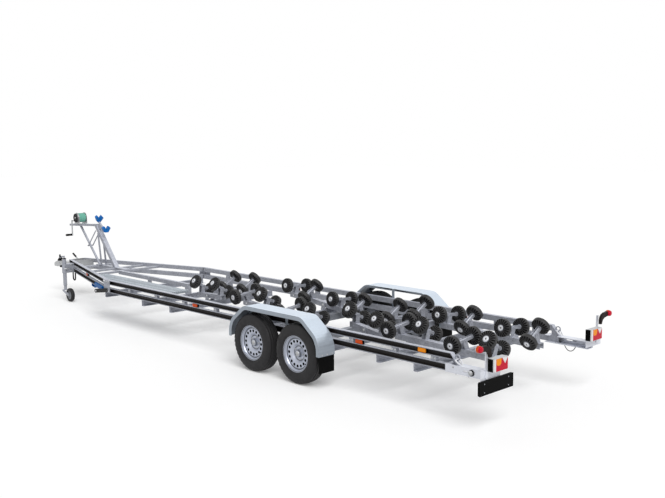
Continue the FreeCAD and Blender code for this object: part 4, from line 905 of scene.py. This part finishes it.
def winch_details():
    """The strap wound on the drum, the toothed gear, the crank's grip and the drum's bolts."""
    bottom, top = low("winch"), high("winch")
    drum = Vector((0, bottom.y + 0.085, top.z - 0.085))
    place = facing(drum, (1, 0, 0))
    ridges = [(-STRAP_HALF + 2 * STRAP_HALF * k / (STRAP_RIDGES - 1), 0.0745 + 0.0022 * (k % 2))
              for k in range(STRAP_RIDGES)]
    turns = [(-STRAP_HALF, 0.060), *ridges, (STRAP_HALF, 0.060)]
    lathe(turns, 48, place).build("strap_roll", STRAP, "frame", "winch")
    gear = lathe(GEAR, GEAR_TEETH * RINGS_PER_TOOTH, place, toothed, smooth=False)
    gear.build("winch_gear", BLACK_STEEL, "frame", "winch")
    grip = facing(Vector((bottom.x, drum.y + 0.0617, bottom.z + 0.0165)), (1, 0, 0))
    lathe(CRANK_GRIP, 24, grip).build("crank_grip", BLACK, "frame", "winch")
    bolts = Shape()
    for across, height in ((0.070, 0.010), (-0.098, 0.008)):
        bolts.take(bolt(drum + Vector((across, 0, 0)), (math.copysign(1, across), 0, 0), 0.012, height))
    bolts.build("winch_bolts", PLATED, "frame", "winch")


BALL_Y = NOSE_Y + 0.720
BELLOWS_Y = NOSE_Y + 0.330
BELLOWS_RIBS = 8
RIB_PITCH = 0.013

# The coupling lever's outline as (ahead of the ball, height over the head)
LEVER = ((-0.104, -0.002), (-0.020, -0.010), (-0.016, 0.010), (-0.116, 0.085), (-0.160, 0.085),
         (-0.160, 0.067), (-0.126, 0.063))
HEAD_Z = DRAW_Z + 0.028

# Rows of bolts on both sides of the coupling, as (ahead of the nose, across, height, radius, head)
SIDE_BOLTS = ((0.060, 0.048, DRAW_Z, 0.011, 0.009), (0.270, 0.048, DRAW_Z, 0.011, 0.009),
              (-0.120, 0.048, DRAW_Z, 0.011, 0.009), (0.540, 0.040, DRAW_Z + 0.002, 0.009, 0.008),
              (0.590, 0.040, DRAW_Z + 0.002, 0.009, 0.008))


def bellows():
    profile = [(-0.004, 0.030), (-0.004, 0.0445)]
    for k in range(BELLOWS_RIBS):
        start, shrink = 0.002 + k * RIB_PITCH, 0.00075 * k
        profile += [(start, 0.0448 - shrink), (start + RIB_PITCH * 0.45, 0.0455 - shrink),
                    (start + RIB_PITCH * 0.8, 0.037 - 0.0008 * k)]
    profile.append((0.002 + BELLOWS_RIBS * RIB_PITCH, 0.0262))
    return lathe(profile, 40, facing(Vector((0, BELLOWS_Y, DRAW_Z)), (0, 1, 0)))


def coupling_details():
    """The rubber bellows over the drawtube, the black lever, the bolts and the stop under the head."""
    bellows().build("drawtube_bellows", FLAP_RUBBER, "frame", "coupling")
    outline = [(BALL_Y + ahead, HEAD_Z + over) for ahead, over in LEVER]
    upright = Matrix(((0, 0, 1), (1, 0, 0), (0, 1, 0))).to_4x4()
    lever = bevelled(outline, 0.040, 0.005, Matrix.Translation((-0.020, 0, 0)) @ upright)
    lever.build("coupling_lever", BLACK, "frame", "coupling")
    bolts = Shape()
    for ahead, across, z, radius, head in SIDE_BOLTS:
        for side in (-1, 1):
            bolts.take(bolt(Vector((side * across, NOSE_Y + ahead, z)), (side, 0, 0), radius, head))
    for x in (-0.11, 0.11):
        for z in (0.480, 0.595):
            bolts.take(bolt(Vector((x, NOSE_Y + 0.008, z)), (0, 1, 0)))
    bolts.build("coupling_bolts", PLATED, "frame", "coupling")
    stop = box((-0.020, BALL_Y - 0.145, 0.418), (0.020, BALL_Y - 0.090, 0.470), 0.004)
    stop.build("coupling_stop", BLACK, "frame", "coupling")


BRAKE_GRIP = ((0, 0.0001), (0, 0.0138), (0.004, 0.0152), (0.112, 0.0145), (0.120, 0.0110), (0.122, 0.0001))


def handbrake_grip():
    start = Vector((0.069, NOSE_Y + 0.186, 0.628))
    place = facing(start, (0, 0.151, 0.073))
    lathe(BRAKE_GRIP, 24, place).build("brake_grip", FLAP_RUBBER, "frame", "coupling")


JOCKEY = joint_place("jockey_swivel")
JOCKEY_CLAMP = Vector((JOCKEY.x, JOCKEY.y - 0.040, 0.530))

# Half sections of the jockey wheel, and sections of its leg's grip and cap
JOCKEY_TYRE = ((0.023, 0.070), (0.029, 0.076), (0.029, 0.094), (0.024, 0.103), (0.015, 0.1085),
               (0.004, 0.110))
JOCKEY_RIM = ((0.026, 0.0096), (0.026, 0.022), (0.010, 0.026), (0.007, 0.058), (0.012, 0.066),
              (0.022, 0.0705), (0.020, 0.074))
JOCKEY_GRIP = ((0, 0.0001), (0, 0.012), (0.005, 0.0145), (0.046, 0.0125), (0.0495, 0.0001))
JOCKEY_CAP = ((0, 0.0302), (0.002, 0.0320), (0.012, 0.0320), (0.014, 0.0260), (0.014, 0.0115))


def upward(centre):
    return facing(centre, (0, 0, 1), Vector((0, 1, 0)))


def jockey():
    """The wheel's rubber tyre and rim, its pin's bolts, and the grip and cap on the leg."""
    centre = joint_place("jockey_wheel_spin")
    place = facing(centre, (1, 0, 0))
    rubber_ring = lathe(mirrored(JOCKEY_TYRE), 64, place, closed=True)
    tyre = rubber_ring.build("jockey_tyre", TYRE_RUBBER, "jockey_wheel", "rubber")
    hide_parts("jockey_wheel")
    disc = lathe(mirrored(JOCKEY_RIM), 48, place, closed=True)
    disc.build("jockey_rim", GREY_PLASTIC, "jockey_wheel", "rubber")
    bolts = Shape()
    for way in (1, -1):
        bolts.take(bolt(centre + Vector((way * 0.046, 0, 0)), (way, 0, 0), 0.009, 0.007))
    bolts.build("jockey_pin_bolts", PLATED, "jockey_fork", "galvanised")
    grip = upward(Vector((JOCKEY.x - 0.070, JOCKEY.y, high("jockey_leg").z - 0.048)))
    lathe(JOCKEY_GRIP, 20, grip).build("jockey_grip", BLACK, "jockey_leg", "galvanised")
    cap = upward(Vector((JOCKEY.x, JOCKEY.y, RAIL_TOP + 0.060)))
    lathe(JOCKEY_CAP, 32, cap).build("jockey_cap", BLACK, "jockey_leg", "galvanised")


def clamp_details():
    """The jockey clamp's tightening handle and its bolts."""
    shape = Shape()
    shape.take(disc_ends(0, 0.045, 0.008, 0.001, 16, facing(JOCKEY_CLAMP, (0, -1, 0))))
    handle = JOCKEY_CLAMP - Vector((0, 0.040, 0))
    shape.take(disc_ends(-0.045, 0.045, 0.006, 0.002, 12, facing(handle, (1, 0, 0))))
    for up in (-0.05, 0.05):
        shape.take(bolt(JOCKEY_CLAMP + Vector((0.095, 0, up)), (0, -1, 0)))
    shape.build("clamp_handle", PLATED, "frame", "galvanised")


# Bolts and fittings on the frame

SPACERS = (3.300, 2.640, 2.000, 1.330, 0.700, -0.560, -0.980, -1.560, -2.050)
SPACER_FACE = RAIL_X - 0.008
CORNER_HEIGHTS = (RAIL_TOP - 0.018, LOWER_LOW + 0.02)
PIVOT_REACH = 0.048


def frame_bolts():
    """The bolts of the corner plates and spacers, and the nuts of the cradles' pivots."""
    part = Shape()
    for y in (BEND_Y - 0.085, BEND_Y - 0.035):
        for z in CORNER_HEIGHTS:
            part.take(bolt(Vector((PLATE_FACE, y, z)), (1, 0, 0)))
    normal = Vector((math.cos(ARM_ANGLE), math.sin(ARM_ANGLE), 0))
    along = Vector((-math.sin(ARM_ANGLE), math.cos(ARM_ANGLE), 0))
    corner = Vector((RAIL_X, BEND_Y, 0)) + normal * PLATE
    for reach in (0.035, 0.090):
        for z in CORNER_HEIGHTS:
            part.take(bolt(corner + along * reach + Vector((0, 0, z)), normal))
    for station in SPACERS:
        for ahead in (-0.015, 0.015):
            at = Vector((SPACER_FACE, MID_Y + station + ahead, SLOT_Z))
            part.take(bolt(at, (1, 0, 0), 0.007, 0.005))
    for cradle in ("cradle_front", "cradle_rear", "bow_cradle", "keel_cradle"):
        pivot = joint_place(cradle + "_right_rock")
        for way in (-1, 1):
            part.take(bolt(pivot + Vector((way * PIVOT_REACH, 0, 0)), (way, 0, 0), 0.013, 0.009))
    both_sides(part).build("frame_bolts", PLATED, "frame", "galvanised")


def fender_bolts():
    """Round heads where the fenders and mudflaps are fixed."""
    rear, flap_top = low("fenders").y, high("mudflaps").z
    places = [facing(Vector((x, rear, flap_top - 0.015)), (0, -1, 0)) for x in (0.90, 0.97, 1.04)]
    places += [upward(Vector((0.885, MID_Y + ahead, high("fenders").z))) for ahead in (-0.35, 0.0, 0.35)]
    part = Shape()
    for place in places:
        part.take(disc_ends(0, 0.003, 0.008, 0.001, 16, place))
    both_sides(part).build("fender_bolts", PLATED, "frame", "sheet")


SLEEVE_FACE = RAIL_X + 0.006
SLEEVE_MIDDLE = (LOWER_TOP + LOWER_LOW) / 2
KNOB_STATION = -2.490
GUARD_STATION = -2.497
SLOT_BOLTS = (-2.290, -2.640)
SLEEVE_STUDS = (-2.300, -2.440, -2.580)
CARRIER_BOLTS = ((0.985, 0.545), (0.985, 0.490), (0.745, 0.625))
KNOB = ((0, 0.020), (0.004, 0.022), (0.012, 0.022), (0.016, 0.018), (0.016, 0.009), (0.022, 0.008),
        (0.022, 0.0001))
GUARD = ((0, 0.024), (0, 0.029), (0.009, 0.028), (0.009, 0.023))


def arm_fittings():
    """Each light arm's clamping knob in its guard, bolts in the slot and on the carrier, and studs below."""
    knobs = Shape()
    knob = facing(Vector((SLEEVE_FACE, MID_Y + KNOB_STATION, SLEEVE_MIDDLE)), (1, 0, 0))
    knobs.take(lathe(KNOB, 28, knob))
    for station in SLOT_BOLTS:
        at = Vector((SLEEVE_FACE, MID_Y + station, SLEEVE_MIDDLE + 0.018))
        knobs.take(bolt(at, (1, 0, 0), 0.007, 0.005))
    for x, z in CARRIER_BOLTS:
        knobs.take(bolt(Vector((x, CARRIER_Y + 0.0053, z)), (0, 1, 0), 0.007, 0.005))
    for station in SLEEVE_STUDS:
        at = Vector((SLEEVE_FACE - 0.030, MID_Y + station, LOWER_LOW - 0.0065))
        knobs.take(bolt(at, (0, 0, -1), 0.008, 0.010))
    guard = facing(Vector((SLEEVE_FACE, MID_Y + GUARD_STATION, SLEEVE_MIDDLE)), (1, 0, 0))
    both_sides(knobs).build("arm_knobs", PLATED, "frame", "sheet")
    both_sides(lathe(GUARD, 28, guard, closed=True)).build("knob_guards", BLACK, "frame", "sheet")


# A lashing ring's wire as (across, down the slope) from the eye
RING = ((0, 0), (0.026, 0), (0.036, 0.006), (0.031, 0.030), (0.011, 0.070), (0, 0.080), (-0.011, 0.070),
        (-0.031, 0.030), (-0.036, 0.006), (-0.026, 0), (0, 0))
RING_DROP = 0.0145
RING_WIRE = 0.0065
DOWN_SLOPE = Vector((0, -0.70, -0.71))


def lashing_rings():
    """A pear-shaped ring that hangs down the slope from the eye at each rail's rear end."""
    for side, hand in ((-1, "left"), (1, "right")):
        eye = Vector((side * (RAIL_X - CHANNEL_DEPTH / 2), EYE_Y, EYE_Z - RING_DROP))
        points = [eye + Vector((across, 0, 0)) + DOWN_SLOPE * down for across, down in RING]
        cable("lashing_ring_" + hand, points, RING_WIRE, HUB_ZINC, "frame")


RIB_COUNT = 6
RIB_MARGIN = 0.03
RIB_HALF = 0.004
TAPER_INNER_X = -0.64


def walkway_ribs():
    """The plank's lengthways ribs. Those outboard of the taper's inner end stop at the drawbar arm's line."""
    bottom, top = low("walkway"), high("walkway")
    shape = Shape()
    for k in range(RIB_COUNT):
        x = bottom.x + RIB_MARGIN + (top.x - bottom.x - 2 * RIB_MARGIN) * k / (RIB_COUNT - 1)
        end = top.y
        if x <= TAPER_INNER_X:
            past_bend = (RAIL_X - CHANNEL_DEPTH - 0.012 + x) / ARM_SLOPE
            end = min(end, BEND_Y + max(0.0, past_bend))
        rear, front = (x - RIB_HALF, bottom.y + 0.01, top.z), (x + RIB_HALF, end - 0.02, top.z + 0.003)
        shape.take(box(rear, front, 0.001))
    shape.build("walkway_ribs", PLANK, "frame", "galvanised")


# Stage and light

def seen_directly(tree):
    """1 for camera, mirror and glass rays, and 0 for the light that falls on the object."""
    path = tree.nodes.new("ShaderNodeLightPath")
    total = path.outputs["Is Camera Ray"]
    for name in ("Is Glossy Ray", "Is Transmission Ray"):
        larger = tree.nodes.new("ShaderNodeMath")
        larger.operation = "MAXIMUM"
        tree.links.new(total, larger.inputs[0])
        tree.links.new(path.outputs[name], larger.inputs[1])
        total = larger.outputs[0]
    return total


def stage():
    """The floor, which lights up for rays that see it directly."""
    floor = bpy.data.meshes.new("floor")
    reach = 60
    corners = [(-reach, -reach, 0), (reach, -reach, 0), (reach, reach, 0), (-reach, reach, 0)]
    floor.from_pydata(corners, [], [(0, 1, 2, 3)])
    piece = bpy.data.objects.new("floor", floor)
    bpy.context.scene.collection.objects.link(piece)
    finish = Finish("floor", (0.93, 0.93, 0.93), 0.9).set("Specular IOR Level", 0.0)
    finish.set("Emission Color", (1, 1, 1, 1))
    glow = finish.math("MULTIPLY", seen_directly(finish.tree), 0.13)
    finish.join(glow, finish.shader.inputs["Emission Strength"])
    piece.data.materials.append(finish.material)


def light():
    """An even white world, brighter for rays that see it directly, and one soft sun."""
    world = bpy.data.worlds.new("studio")
    bpy.context.scene.world = world
    world.use_nodes = True
    tree = world.node_tree
    background = tree.nodes["Background"]
    background.inputs["Color"].default_value = (1, 1, 1, 1)
    level = tree.nodes.new("ShaderNodeMapRange")
    level.inputs["To Min"].default_value = 0.48
    level.inputs["To Max"].default_value = 1.0
    tree.links.new(seen_directly(tree), level.inputs["Value"])
    tree.links.new(level.outputs["Result"], background.inputs["Strength"])
    sun = bpy.data.lights.new("softbox", "SUN")
    sun.energy = 2.05
    sun.angle = math.radians(40)
    lamp = bpy.data.objects.new("softbox", sun)
    lamp.rotation_euler = (math.radians(38), math.radians(-22), 0)
    bpy.context.scene.collection.objects.link(lamp)
    bpy.context.scene.view_settings.view_transform = "Standard"


add_camera()
dress_nodes()
road_wheels()
rollers()
spindle_ends()
rear_lamps()
outline_markers()
side_markers()
cable_loops()
plate_board()
winch_details()
coupling_details()
handbrake_grip()
jockey()
clamp_details()
frame_bolts()
fender_bolts()
arm_fittings()
walkway_ribs()
lashing_rings()
softened("bow_stops", BLUE, "frame", 0.006)
softened("wheel_chock", DARK_BLUE, "frame", 0.004)
softened("mudflaps", FLAP_RUBBER, "frame", 0.003)
softened("fenders", SHEET, "frame", 0.002)
stage()
light()
